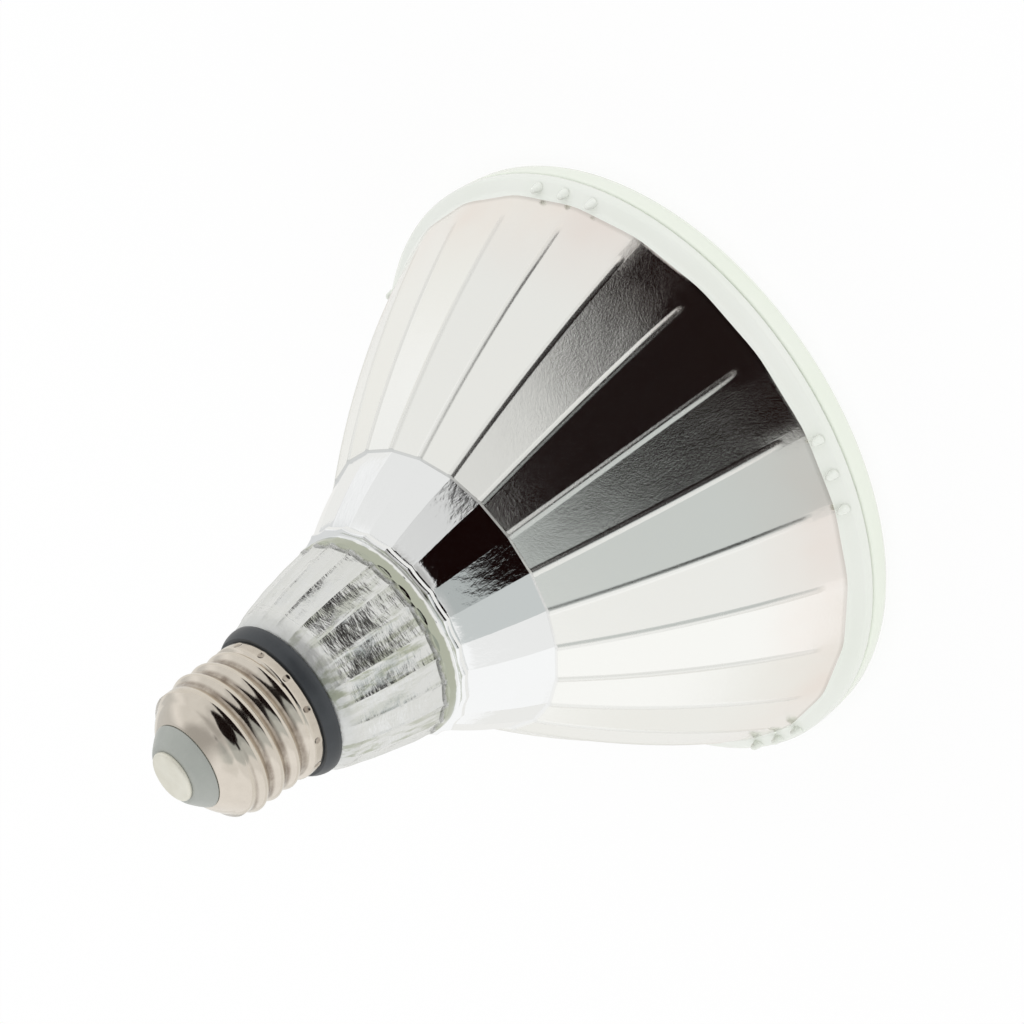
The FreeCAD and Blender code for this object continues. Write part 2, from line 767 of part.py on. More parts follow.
def screw_shell():
    """Rolled screw shell: plain band with punch dimples, knuckle thread and domed end."""
    body = new_body("screw_shell")
    low = size.shell_root
    band = ring_top + size.plain_band
    slope = size.shell_radius - low
    dome_foot = shell_top - size.dome_height
    wall = size.shell_wall
    turned(body, "Sheet", [
        (size.shell_radius - wall, ring_top),
        (size.shell_radius, ring_top),
        (size.shell_radius, band),
        (low, band + slope),
        (low, dome_foot),
        Arc(size.dome_round, -1),
        (size.shell_hole, shell_top),
        (size.shell_hole, shell_top - wall),
        Arc(size.dome_round - wall, 1),
        (low - wall, dome_foot),
        (low - wall, band + slope - wall / 2),
        (size.shell_radius - wall, band - wall / 2),
    ])
    roll_thread(body, ZERO, False)
    roll_thread(body, wall, True)
    dent = size.shell_radius + size.punch_radius - size.punch_depth
    spot = (dent, ZERO, ring_top + size.punch_height)
    punch = ball(body, "Punch", spot, size.punch_radius, cut=True)
    around(body, "Punches", [punch], size.punch_count)
    return body


def roll_thread(body, inset, groove):
    """Sweep the crest along the helix, or the groove behind it, inset by the wall."""
    foot = size.thread_half_width
    top = size.thread_top_half
    depth = size.thread_depth
    flank = root((foot - top) * (foot - top) + depth * depth)
    narrower = inset * (flank - foot + top) / depth
    low = size.shell_root - inset
    inner = low - size.shell_wall / 2
    start = ring_top + size.thread_start
    name = "Groove" if groove else "Crest"
    sketch = new_sketch(body, name + "Section", "XZ_Plane", turn=size.thread_phase)
    draw_outline(sketch, [
        (inner, start - foot + narrower),
        (low, start - foot + narrower),
        (low + depth, start - top + narrower),
        (low + depth, start + top - narrower),
        (low, start + foot - narrower),
        (inner, start + foot - narrower),
    ])
    kind = "PartDesign::SubtractiveHelix" if groove else "PartDesign::AdditiveHelix"
    helix = body.newObject(kind, name)
    helix.Profile = sketch
    helix.ReferenceAxis = (sketch, ["V_Axis"])
    helix.Mode = "pitch-turns-angle"
    bind(helix, "Pitch", size.thread_pitch)
    bind(helix, "Turns", size.thread_turns)
    doc.recompute()


def cap_insulator():
    """Insulating cone, keyed under the shell's domed end."""
    body = new_body("cap_insulator")
    foot = shell_top - size.insulator_root
    top = shell_top + size.insulator_height
    bore = size.pin_radius + size.pin_clearance
    wall = size.shell_wall
    turned(body, "Cone", [
        (bore, foot),
        (size.shell_hole + size.insulator_key, foot),
        (size.shell_hole, shell_top - 2 * wall),
        (size.shell_hole, shell_top),
        (size.insulator_top, top),
        (bore, top),
    ])
    return body


def centre_contact():
    """Contact disc with its pin."""
    body = new_body("centre_contact")
    seat = shell_top + size.insulator_height
    top = seat + size.contact_height
    turned(body, "Contact", [
        (ZERO, top - size.pin_length),
        (size.pin_radius, top - size.pin_length),
        (size.pin_radius, seat),
        (size.contact_radius, seat),
        (size.contact_radius, top - size.contact_round),
        Arc(size.contact_round, -1),
        (size.contact_radius - size.contact_round, top),
        (ZERO, top),
    ])
    return body


disc_low = seat_height - size.spreader_thickness
pad_low = disc_low - size.pad_thickness
engine_low = pad_low - size.engine_thickness
holder_low = disc_low - size.holder_height


def round_holes(body, name, spots, radius, low, high):
    """Cut round holes at the given spots from one height to another."""
    sketch = new_sketch(body, name + "Outline", "XY_Plane", lift=high)
    for spot in spots:
        draw_circle(sketch, spot, radius)
    hole = extruded(body, name, sketch, high - low, cut=True, symmetric=False)
    return hole


def screw_spots():
    """Places of the two screws of the holder."""
    return [(size.screw_reach, ZERO), (-size.screw_reach, ZERO)]


def lead_spots():
    """Places of the two leads of the light engine."""
    along = size.lead_radius
    return [(along, size.engine_lead_reach), (along, -size.engine_lead_reach)]


def heat_spreader():
    """Turned aluminium cup: disc on the glass ledge, skirt up into the neck."""
    body = new_body("heat_spreader")
    disc = seat_radius() - size.spreader_gap
    skirt = size.band_radius - size.neck_wall - size.skirt_gap
    turned(body, "Cup", [
        (ZERO, disc_low),
        (disc, disc_low),
        (disc, seat_height),
        (skirt, seat_height),
        (skirt, seat_height + size.skirt_height),
        (skirt - size.skirt_wall, seat_height + size.skirt_height),
        (skirt - size.skirt_wall, seat_height),
        (ZERO, seat_height),
    ])
    shank = size.screw_radius + size.screw_clearance
    round_holes(body, "Taps", screw_spots(), shank, disc_low, seat_height)
    lead = size.lead_radius + size.lead_clearance
    round_holes(body, "LeadHoles", lead_spots(), lead, disc_low, seat_height)
    return body


def engine_holder():
    """Moulded ring with a flared window, a square pocket and its holes."""
    body = new_body("engine_holder")
    turned(body, "Ring", [
        (size.holder_window, engine_low),
        (size.holder_window + size.holder_flare, holder_low),
        (size.holder_radius - size.holder_round, holder_low),
        Arc(size.holder_round, -1),
        (size.holder_radius, holder_low + size.holder_round),
        (size.holder_radius, disc_low),
        (size.holder_window, disc_low),
    ])
    pocket = new_sketch(body, "PocketOutline", "XY_Plane", lift=disc_low)
    half = size.engine_side / 2 + size.holder_clearance
    draw_outline(pocket, [(-half, -half), (half, -half), (half, half), (-half, half)])
    extruded(body, "Pocket", pocket, disc_low - engine_low, cut=True, symmetric=False)
    shank = size.screw_radius + size.screw_clearance
    round_holes(body, "ScrewHoles", screw_spots(), shank, holder_low, disc_low)
    lead = size.lead_radius + size.lead_clearance
    round_holes(body, "LeadHoles", lead_spots(), lead, engine_low, disc_low)
    return body


def light_engine():
    """Thermal pad, square board and its round yellow face."""
    side = size.engine_side
    corner = -side / 2
    block("thermal_pad", (corner, corner, pad_low), (side, side, size.pad_thickness))
    block("light_engine_board", (corner, corner, engine_low), (side, side, size.engine_thickness))
    face = engine_low - size.phosphor_height
    rod("light_engine_phosphor", (ZERO, ZERO, face), size.phosphor_radius, size.phosphor_height)


def holder_screw(index, spot):
    """One pan-head screw with a cross recess, its head towards the lens."""
    head_low = holder_low - size.screw_head_height
    foot = (spot[0], spot[1], head_low)
    head = rod(f"screw_head_{index}", foot, size.screw_head_radius, size.screw_head_height)
    shank_foot = (spot[0], spot[1], holder_low)
    shank = rod(f"screw_shank_{index}", shank_foot, size.screw_radius, size.screw_length)
    whole = doc.addObject("Part::Fuse", f"ScrewBlank{index}")
    whole.Base = head
    whole.Tool = shank
    deep = size.screw_head_height / 2
    arms = []
    for name, long_x in (("a", True), ("b", False)):
        half_long, half_short = size.recess_radius, size.recess_width / 2
        half_x, half_y = (half_long, half_short) if long_x else (half_short, half_long)
        corner = (spot[0] - half_x, spot[1] - half_y, head_low)
        arms.append(block(f"recess_{index}{name}", corner, (2 * half_x, 2 * half_y, deep)))
    cross = doc.addObject("Part::Fuse", f"Recess{index}")
    cross.Base, cross.Tool = arms
    return without(f"holder_screw_{index}", whole, cross)


def driver():
    """Driver board on edge in its rails, with the parts soldered to its two sides."""
    half = size.board_width / 2
    board = (-size.board_thickness, -half, board_foot)
    block("driver_board", board, (size.board_thickness, size.board_width, size.board_length))
    transformer()
    rod("bulk_capacitor", (size.bulk_radius, size.bulk_offset, board_foot + size.bulk_rise),
        size.bulk_radius, size.bulk_length)
    rod("output_capacitor", (size.output_radius, -size.output_offset, board_foot + size.output_rise),
        size.output_radius, size.output_length)
    film_low = -(size.film_offset + size.film_width / 2)
    block("film_capacitor", (ZERO, film_low, board_foot + size.film_rise),
          (size.film_depth, size.film_width, size.film_height))
    back = -size.board_thickness
    block("bridge_rectifier",
          (back - size.bridge_depth, -size.bridge_side / 2, board_foot + size.bridge_rise),
          (size.bridge_depth, size.bridge_side, size.bridge_side))
    block("driver_chip",
          (back - size.chip_depth, -size.chip_width / 2, board_foot + size.chip_rise),
          (size.chip_depth, size.chip_width, size.chip_height))
    resistors = []
    for index in range(round(size.resistor_count.number)):
        level = board_foot + size.resistor_rise + index * size.resistor_step
        corner = (back - size.resistor_depth, size.resistor_offset - size.resistor_width / 2, level)
        edges = (size.resistor_depth, size.resistor_width, size.resistor_height)
        resistors.append(block(f"chip_resistor_{index + 1}", corner, edges))
    together("chip_resistors", resistors)
    choke()
    fusible_resistor()


def transformer():
    """Transformer: a winding round the middle leg of a two-window core."""
    middle = board_foot + size.transformer_rise
    lift = (size.winding_depth - size.core_depth) / 2
    gap = size.core_gap
    core = block("core_block",
                 (lift, -size.core_width / 2, middle - size.core_height / 2),
                 (size.core_depth, size.core_width, size.core_height))
    window_width = (size.core_width - size.core_leg) / 2 - size.core_limb
    window_height = size.winding_height + 2 * gap
    windows = []
    for index, low in enumerate((size.core_leg / 2, -(size.core_leg / 2 + window_width))):
        windows.append(block(f"core_window_{index}",
                             (lift - gap, low, middle - window_height / 2),
                             (size.core_depth + 2 * gap, window_width, window_height)))
    pair = doc.addObject("Part::Fuse", "CoreWindows")
    pair.Base, pair.Tool = windows
    without("transformer_core", core, pair)
    coil = block("winding_block",
                 (ZERO, -size.winding_width / 2, middle - size.winding_height / 2),
                 (size.winding_depth, size.winding_width, size.winding_height))
    leg = block("winding_hole",
                (lift - gap, -(size.core_leg / 2 + gap), middle - size.winding_height),
                (size.core_depth + 2 * gap, size.core_leg + 2 * gap, 2 * size.winding_height))
    without("transformer_winding", coil, leg)


def choke():
    """Choke: a drum core with its winding in the waist."""
    low = board_foot + size.choke_rise
    high = low + size.choke_height
    drum = new_body("choke_core")
    turned(drum, "Drum", [
        (ZERO, low),
        (size.choke_radius, low),
        (size.choke_radius, low + size.choke_flange),
        (size.choke_waist, low + size.choke_flange),
        (size.choke_waist, high - size.choke_flange),
        (size.choke_radius, high - size.choke_flange),
        (size.choke_radius, high),
        (ZERO, high),
    ])
    coil = new_body("choke_winding")
    turned(coil, "Coil", [
        (size.choke_waist, low + size.choke_flange),
        (size.choke_fill, low + size.choke_flange),
        (size.choke_fill, high - size.choke_flange),
        (size.choke_waist, high - size.choke_flange),
    ])
    for body in (drum, coil):
        bind(body, "Placement.Base.x", size.choke_radius)
        bind(body, "Placement.Base.y", size.choke_offset)


def fusible_resistor():
    """Fusible resistor: a dipped body with a slight waist, in the live lead."""
    body = new_body("fusible_resistor")
    low = board_foot + size.fuse_rise
    high = low + size.fuse_length
    quarter = size.fuse_length / 4
    turned(body, "Dipped", [
        (ZERO, low),
        (size.fuse_radius, low),
        (size.fuse_radius, low + quarter),
        (size.fuse_waist, low + quarter + size.fuse_radius - size.fuse_waist),
        (size.fuse_waist, high - quarter - size.fuse_radius + size.fuse_waist),
        (size.fuse_radius, high - quarter),
        (size.fuse_radius, high),
        (ZERO, high),
    ])
    bind(body, "Placement.Base.x", size.fuse_radius)
    bind(body, "Placement.Base.y", -size.fuse_offset)


def lead_tube(label, points, bend):
    """Sweep a round lead along straight runs joined by tangent arcs of one radius."""
    corners = [Vec(*(value.number for value in point)) for point in points]
    radius = size.lead_radius.number
    edges = []
    last = corners[0]
    for before, corner, after in zip(corners, corners[1:], corners[2:]):
        inward = (before - corner).normalize()
        outward = (after - corner).normalize()
        half_turn = (math.pi - inward.getAngle(outward)) / 2
        cut_back = bend.number * math.tan(half_turn)
        first = corner + inward * cut_back
        final = corner + outward * cut_back
        middle_way = (inward + outward).normalize()
        reach = bend.number / math.cos(half_turn) - bend.number
        edges.append(Part.LineSegment(last, first).toShape())
        edges.append(Part.Arc(first, corner + middle_way * reach, final).toShape())
        last = final
    edges.append(Part.LineSegment(last, corners[-1]).toShape())
    route = Part.Wire(edges)
    heading = (corners[1] - corners[0]).normalize()
    ring = Part.Wire([Part.Circle(corners[0], heading, radius).toShape()])
    feature = doc.addObject("Part::Feature", "Lead_" + label)
    feature.Label = label
    feature.Shape = route.makePipeShell([ring], True, False)
    feature.Placement = FreeCAD.Placement()
    return feature


def leads():
    """Leads of the light engine and of the cap."""
    pair = []
    for index, spot in enumerate(lead_spots()):
        foot = (spot[0], spot[1], engine_low + size.holder_clearance)
        height = board_foot + size.lead_solder - foot[2]
        pair.append(rod(f"engine_lead_{index}", foot, size.lead_radius, height))
    together("engine_leads", pair)

    fuse_top = board_foot + size.fuse_rise + size.fuse_length
    pin_foot = shell_top + size.insulator_height + size.contact_height - size.pin_length
    lead_tube("live_lead", [
        (size.fuse_radius, -size.fuse_offset, fuse_top),
        (size.fuse_radius, -size.fuse_offset, fuse_top + size.lead_bend),
        (ZERO, ZERO, pin_foot - size.lead_bend),
        (ZERO, ZERO, pin_foot),
    ], size.lead_bend)

    over = spigot_top + size.lead_radius
    board_top = board_foot + size.board_length
    lead_tube("neutral_lead", [
        (size.lead_radius, -size.neutral_offset, board_top - size.lead_solder),
        (size.lead_radius, -size.neutral_offset, over),
        (size.lead_radius, -(shell_bore - size.spigot_gap), over),
    ], size.lead_bend)


reflector_glass()
front_lens()
lens_seal()
base_collar()
neck_cement()
screw_shell()
cap_insulator()
centre_contact()
heat_spreader()
engine_holder()
light_engine()
together("holder_screws", [holder_screw(1, screw_spots()[0]), holder_screw(2, screw_spots()[1])])
driver()
leads()
doc.recompute()

PARTS = (
    "reflector_glass", "front_lens", "lens_seal", "base_collar", "neck_cement",
    "screw_shell", "cap_insulator", "centre_contact",
    "heat_spreader", "thermal_pad", "light_engine_board", "light_engine_phosphor",
    "engine_holder", "holder_screws",
    "driver_board", "transformer_core", "transformer_winding", "bulk_capacitor",
    "output_capacitor", "film_capacitor", "choke_core", "choke_winding", "bridge_rectifier",
    "driver_chip", "chip_resistors", "fusible_resistor",
    "live_lead", "neutral_lead", "engine_leads",
)

for item in doc.Objects:
    if "Invalid" in item.State or "Error" in item.State:
        raise RuntimeError(f"{item.Label} did not build: {item.State}")

by_label = {item.Label: item for item in doc.Objects}
for name in PARTS:
    shape = by_label[name].Shape
    if shape.isNull() or not shape.isValid() or not shape.Solids:
        raise RuntimeError(f"{name} is not a valid solid")

os.makedirs("parts", exist_ok=True)
for name in PARTS:
    shape = by_label[name].Shape
    shape.exportStep(f"parts/{name}.step")
    print(f"{name}: {len(shape.Solids)} solid, {shape.Volume:.1f} mm3")
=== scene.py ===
"""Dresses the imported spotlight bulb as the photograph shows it.

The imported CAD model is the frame: every size here is in millimetres of that frame and is turned into
metres when a mesh is made. The visible pieces (the pressed glass body, the lens, the screw shell, the
insulator and the contact) are built as finer meshes that replace their CAD nodes. All other nodes keep
their CAD shape and get a procedural finish.
"""
import logging
import math
from dataclasses import dataclass
from enum import Enum
from typing import Callable, Optional, Sequence, Union

import bpy
from mathutils import Matrix, Vector, noise


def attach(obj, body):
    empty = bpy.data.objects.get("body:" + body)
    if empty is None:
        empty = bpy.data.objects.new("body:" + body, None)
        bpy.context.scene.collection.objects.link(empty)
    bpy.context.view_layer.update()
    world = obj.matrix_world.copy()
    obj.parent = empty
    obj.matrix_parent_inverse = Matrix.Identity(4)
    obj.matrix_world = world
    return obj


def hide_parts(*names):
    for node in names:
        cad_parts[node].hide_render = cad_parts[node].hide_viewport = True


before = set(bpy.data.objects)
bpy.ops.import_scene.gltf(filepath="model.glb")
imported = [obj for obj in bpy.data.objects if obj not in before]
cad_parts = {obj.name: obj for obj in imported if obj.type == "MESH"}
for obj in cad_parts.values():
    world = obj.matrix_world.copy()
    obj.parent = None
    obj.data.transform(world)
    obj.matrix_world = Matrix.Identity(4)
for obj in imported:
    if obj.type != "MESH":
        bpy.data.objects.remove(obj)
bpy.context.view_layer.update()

MM = 0.001
BODY = "root"
WHITE = "#FFFFFF"

Point = tuple[float, float, float]
Outline = Sequence[tuple[float, float]]
Colour = tuple[float, float, float, float]
Socket = bpy.types.NodeSocket
Value = Union[float, Colour, Socket, bpy.types.Node]

logging.basicConfig(level=logging.INFO, format="%(message)s")
log = logging.getLogger("bulb")


# Small tools

def srgb(code: str) -> Colour:
    """Turn a written colour into the linear colour that the shaders take.

    Args:
        code: the colour as it looks, in the form #RRGGBB.
    Returns:
        Linear red, green, blue and an alpha of 1.
    """
    tones = [int(code[place:place + 2], 16) / 255 for place in (1, 3, 5)]
    linear = [t / 12.92 if t <= 0.04045 else ((t + 0.055) / 1.055) ** 2.4 for t in tones]
    return (linear[0], linear[1], linear[2], 1.0)


def ease(low: float, high: float, x: float) -> float:
    """Rise smoothly from 0 at low to 1 at high; high may be below low, for a fall."""
    share = min(1.0, max(0.0, (x - low) / (high - low)))
    return share * share * (3 - 2 * share)


def steps(low: float, high: float, count: int) -> list[float]:
    """List evenly spaced places from low to high, both ends included."""
    return [low + (high - low) * place / (count - 1) for place in range(count)]


@dataclass(frozen=True)
class Bow:
    """A crowned line between two points of a profile, bulging away from the axis.

    Attributes:
        start: radius and height of its lower end.
        end: radius and height of its upper end.
        crown: radius of the arc.
    """

    start: tuple[float, float]
    end: tuple[float, float]
    crown: float

    def centre(self) -> tuple[float, float]:
        """Find the arc's centre.

        Returns:
            Radius and height of the centre.
        """
        run = self.end[0] - self.start[0]
        rise = self.end[1] - self.start[1]
        chord = math.hypot(run, rise)
        back = math.sqrt(self.crown ** 2 - (chord / 2) ** 2)
        middle = ((self.start[0] + self.end[0]) / 2, (self.start[1] + self.end[1]) / 2)
        return (middle[0] - rise / chord * back, middle[1] + run / chord * back)

    def radius_at(self, height: float) -> float:
        """Give the arc's radius from the axis at a height."""
        centre = self.centre()
        return centre[0] + math.sqrt(max(0.0, self.crown ** 2 - (height - centre[1]) ** 2))

    def outline(self, count: int) -> list[tuple[float, float]]:
        """Sample radius and height of evenly spaced points, from start to end."""
        return [(self.radius_at(z), z) for z in steps(self.start[1], self.end[1], count)]


class Skin:
    """Rings of points, stacked into one closed mesh.

    A ring is a list of points counted counter-clockwise about +Z, or a single point for a pole. Rings
    follow the outside upwards and the inside downwards, so every face looks out of the solid.
    """

    def __init__(self, name: str) -> None:
        """Start an empty skin.

        Args:
            name: name of the object that it becomes.
        """
        self.name = name
        self.points: list[Point] = []
        self.faces: list[tuple[int, ...]] = []
        self.finishes: list[int] = []

    def join(self, low: list[int], high: list[int], finish: int) -> None:
        """Lay faces between two rings, one of which may be a pole.

        Args:
            low: numbers of the first ring.
            high: numbers of the ring after it.
            finish: which of the object's materials the faces take.
        """
        count = max(len(low), len(high))
        for place in range(count):
            after = (place + 1) % count
            if len(low) == 1:
                face = (low[0], high[after], high[place])
            elif len(high) == 1:
                face = (low[place], low[after], high[0])
            else:
                face = (low[place], low[after], high[after], high[place])
            self.faces.append(face)
            self.finishes.append(finish)

    def stack(self, rings: Sequence[Sequence[Point]], closed: bool = True,
              finish: Optional[Callable[[int], int]] = None) -> None:
        """Add rings and join each to the next.

        Args:
            rings: the rings in order.
            closed: whether the last ring joins the first, as in a tube.
            finish: gives the material number of the faces above a ring; 0 when left out.
        """
        numbers = []
        for points in rings:
            first = len(self.points)
            numbers.append(list(range(first, first + len(points))))
            self.points.extend(points)
        for place in range(len(numbers) if closed else len(numbers) - 1):
            after = (place + 1) % len(numbers)
            self.join(numbers[place], numbers[after], finish(place) if finish else 0)

    def build(self, materials: Sequence[bpy.types.Material], crease: float = 32.0) -> bpy.types.Object:
        """Make the object, in metres.

        Args:
            materials: its materials, in the order of the face numbers.
            crease: angle in degrees from which an edge is shown sharp.
        Returns:
            The new object, linked to the scene.
        """
        mesh = bpy.data.meshes.new(self.name)
        mesh.from_pydata([(x * MM, y * MM, z * MM) for x, y, z in self.points], [], self.faces)
        mesh.polygons.foreach_set("material_index", self.finishes)
        for material in materials:
            mesh.materials.append(material)
        mesh.shade_smooth()
        mesh.set_sharp_from_angle(angle=math.radians(crease))
        mesh.validate()
        mesh.update()
        piece = bpy.data.objects.new(self.name, mesh)
        bpy.context.scene.collection.objects.link(piece)
        return piece


def around(radius: float, height: float, count: int) -> list[Point]:
    """Set points on a level circle.

    Args:
        radius: radius of the circle; 0 gives a single point.
        height: its height.
        count: how many points.
    Returns:
        The points of the ring.
    """
    if radius <= 0:
        return [(0.0, 0.0, height)]
    turns = [2 * math.pi * place / count for place in range(count)]
    return [(radius * math.cos(turn), radius * math.sin(turn), height) for turn in turns]


def turned(outline: Outline, count: int) -> list[list[Point]]:
    """Set a circle of points at each radius and height of an outline."""
    return [around(radius, height, count) for radius, height in outline]


def show(piece: bpy.types.Object, node: str) -> None:
    """Let a piece stand for a CAD node.

    Args:
        piece: the finished object.
        node: the CAD node that it replaces.
    """
    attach(piece, BODY)
    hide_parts(node)
    log.info("%s: %d faces for %s", piece.name, len(piece.data.polygons), node)


# Shader tools

class Graph:
    """Adds nodes to one node tree, with patterns measured in millimetres of the object."""

    def __init__(self, tree: bpy.types.NodeTree) -> None:
        """Empty a tree and write into it."""
        tree.nodes.clear()
        self.tree = tree

    def add(self, kind: str, inputs: Optional[dict] = None, **settings) -> bpy.types.Node:
        """Add a node, set it and link it.

        Args:
            kind: the node's type without its ShaderNode prefix.
            inputs: for each named or numbered input a constant, a socket, or a node for its first output.
            settings: the node's own properties.
        Returns:
            The new node.
        """
        node = self.tree.nodes.new("ShaderNode" + kind)
        for key, setting in settings.items():
            setattr(node, key, setting)
        for key, value in (inputs or {}).items():
            if isinstance(value, bpy.types.Node):
                value = value.outputs[0]
            if isinstance(value, Socket):
                self.tree.links.new(value, node.inputs[key])
            else:
                node.inputs[key].default_value = value
        return node

    def fold(self, operation: str, first: Value, *others: Value) -> Value:
        """Take numbers in turn through one operation.

        Args:
            operation: Blender's name of the operation.
            first: what it starts from.
            others: each is the second number in turn.
        Returns:
            The last result.
        """
        for other in others:
            first = self.add("Math", {0: first, 1: other}, operation=operation)
        return first

    def total(self, start: Value, *terms: tuple[Value, Value]) -> Value:
        """Add weighted numbers up.

        Args:
            start: what they are added to.
            terms: each number with its weight.
        Returns:
            The sum.
        """
        for value, weight in terms:
            start = self.add("Math", {0: value, 1: weight, 2: start}, operation="MULTIPLY_ADD")
        return start

    def mask(self, *edges: tuple[Value, float, float]) -> Value:
        """Mark where every value is past its edge.

        Args:
            edges: each value, where it starts to count and where it counts in full, in rising or falling
                order.
        Returns:
            1 past all edges, 0 before any, and a smooth change between.
        """
        shares = [self.add("MapRange", {"Value": value, "From Min": start, "From Max": full},
                           interpolation_type="SMOOTHSTEP") for value, start, full in edges]
        return self.fold("MULTIPLY", *shares)

    def off_axis(self, x: Value, y: Value) -> Value:
        """Measure how far the point x, y lies from the lamp's axis."""
        return self.add("Math", {0: self.total(0.0, (y, y), (x, x))}, operation="SQRT")

    def place(self, stretch: Point = (1.0, 1.0, 1.0)) -> Value:
        """Give the point on the object in millimetres; a stretch below 1 draws a pattern out."""
        scale = tuple(part / MM for part in stretch)
        return self.add("VectorMath", {0: self.add("TexCoord").outputs["Object"], 1: scale},
                        operation="MULTIPLY")

    def grain(self, size: float, detail: float = 3.0, rough: float = 0.55, stretch: Point = (1.0, 1.0, 1.0),
              over: Optional[Value] = None) -> Value:
        """Lay a cloudy grain over the object.

        Args:
            size: size of its largest blots in millimetres.
            detail: how many finer layers it has.
            rough: how strong the finer layers are.
            stretch: how much each axis is scaled.
            over: what it is laid over in place of the object.
        Returns:
            The grain, from about 0.2 to 0.8.
        """
        point = self.place(stretch) if over is None else over
        inputs = {"Vector": point, "Scale": 1 / size, "Detail": detail, "Roughness": rough}
        return self.add("TexNoise", inputs)

    def layers(self, base: str, *tones: tuple[Value, str]) -> Value:
        """Lay tones over each other.

        Args:
            base: the colour under them.
            tones: each layer's share, from 0 to 1, and its colour.
        Returns:
            The colour.
        """
        colour: Value = srgb(base)
        for share, tone in tones:
            colour = self.add("Mix", {0: share, 6: colour, 7: srgb(tone)}, data_type="RGBA").outputs[2]
        return colour

    def relief(self, *heights: tuple[Value, Value]) -> Value:
        """Turn patterns, each with its height in millimetres, into a bumped normal."""
        return self.add("Bump", {"Height": self.total(0.0, *heights), "Distance": MM, "Strength": 1.0})

    def finish(self, **inputs) -> None:
        """End a material with a Principled shader.

        Args:
            inputs: the shader's inputs, with underscores for the spaces in their names.
        """
        named = {key.replace("_", " "): value for key, value in inputs.items()}
        shader = self.add("BsdfPrincipled", named)
        self.add("OutputMaterial", {"Surface": shader.outputs[0]})


def new_material(name: str) -> tuple[bpy.types.Material, Graph]:
    """Start an empty material.

    Args:
        name: the material's name.
    Returns:
        The material and the graph of its nodes.
    """
    material = bpy.data.materials.new(name)
    material.use_nodes = True
    return material, Graph(material.node_tree)


# Finishes of the visible pieces

@dataclass(frozen=True)
class SilveredGlass:
    """Pressed borosilicate glass seen from outside, over a vacuum-coated aluminium film.

    The film gives the mirror, the glass before it gives the clear coat. The cone has the pressed mould's
    fine stipple, the collar is fire-polished and slightly wavy, and the neck is hammered. Tones are the
    film's colour through the glass, except the grey on the ribs' crests and on the step's ledge, which is
    painted shade; sizes and heights of relief are in millimetres.

    Attributes:
        mirror: tone where the glass is thin and clear.
        cream: tone on the cone, where the glass is thick.
        warm: tone where the film thins near the rim, up to haze_top.
        hammered: tone of the hammered neck, and its share.
        streak: grey-green of the thicker glass on the neck.
        band: tone of the smooth band under the neck, from band_low up.
        crest: painted shade on the ribs' crests, a grey line that stands in for their reflections, and its
            share.
        edge: grey along the film's edge by the rim and painted shade along the step's ledge, with its share.
        flutes: how many flutes the neck has.
        rim: height where the film begins.
        step: height of the step between cone and collar.
        neck: height where the flutes begin.
        mouth: height where the neck turns in; its lip is left rough by the fire that closes it.
        rib: half width of the ribs on the cone, which are less polished than the flats.
        rib_start: height where the ribs begin.
        film_tilt: slope of the film behind the collar against the collar's outside.
        bulge: how far the film behind the neck falls back, and how far it rises again at the lip.
        stipple: size and height of the cone's stipple.
        ragged: size and height of the collar's fine waves.
        swell: size of the long waves, their height off the cone, and what the cone has less.
        ripple: size and height of the neck's fine hammering.
        dents: size and height of the neck's broad dents.
        gloss: roughness of the collar.
        duller: how much rougher cone, ribs, neck and lip are.
        speck: uneven roughness off the cone, and what the cone has more.
    """

    mirror: str = "#F5F6F6"
    cream: str = "#F7F7F3"
    warm: str = "#F3E6DE"
    haze_top: float = 26.0
    hammered: tuple[str, float] = ("#DFE0DE", 0.7)
    streak: str = "#B9BDAC"
    band: str = "#B6BAAA"
    band_low: float = 68.3
    crest: tuple[str, float] = ("#8F918E", 0.13)
    edge: tuple[str, float] = ("#8C8A80", 0.3)
    flutes: int = 24
    rim: float = 8.4
    step: float = 52.4
    neck: float = 71.0
    mouth: float = 88.4
    rib: float = 0.9
    rib_start: float = 13.6
    film_tilt: float = 0.13
    bulge: tuple[float, float] = (0.66, 0.4)
    stipple: tuple[float, float] = (0.5, 0.021)
    ragged: tuple[float, float] = (1.1, 0.036)
    swell: tuple[float, float, float] = (9.0, 0.10, 0.05)
    ripple: tuple[float, float] = (1.1, 0.15)
    dents: tuple[float, float] = (3.2, 0.4)
    gloss: float = 0.04
    duller: tuple[float, float, float, float] = (0.03, 0.16, 0.2, 0.34)
    speck: tuple[float, float] = (0.02, 0.05)

    def build(self) -> bpy.types.Material:
        """Make the material.

        Returns:
            The material for the outside of the silvered glass.
        """
        material, graph = new_material("silvered_pressed_glass")
        shader = SilveredShader(self, graph)
        graph.finish(Base_Color=shader.colour(), Metallic=1.0, Roughness=shader.roughness(),
                     Normal=shader.normal(), Coat_Weight=0.5, Coat_Roughness=0.04, Coat_IOR=1.47)
        return material


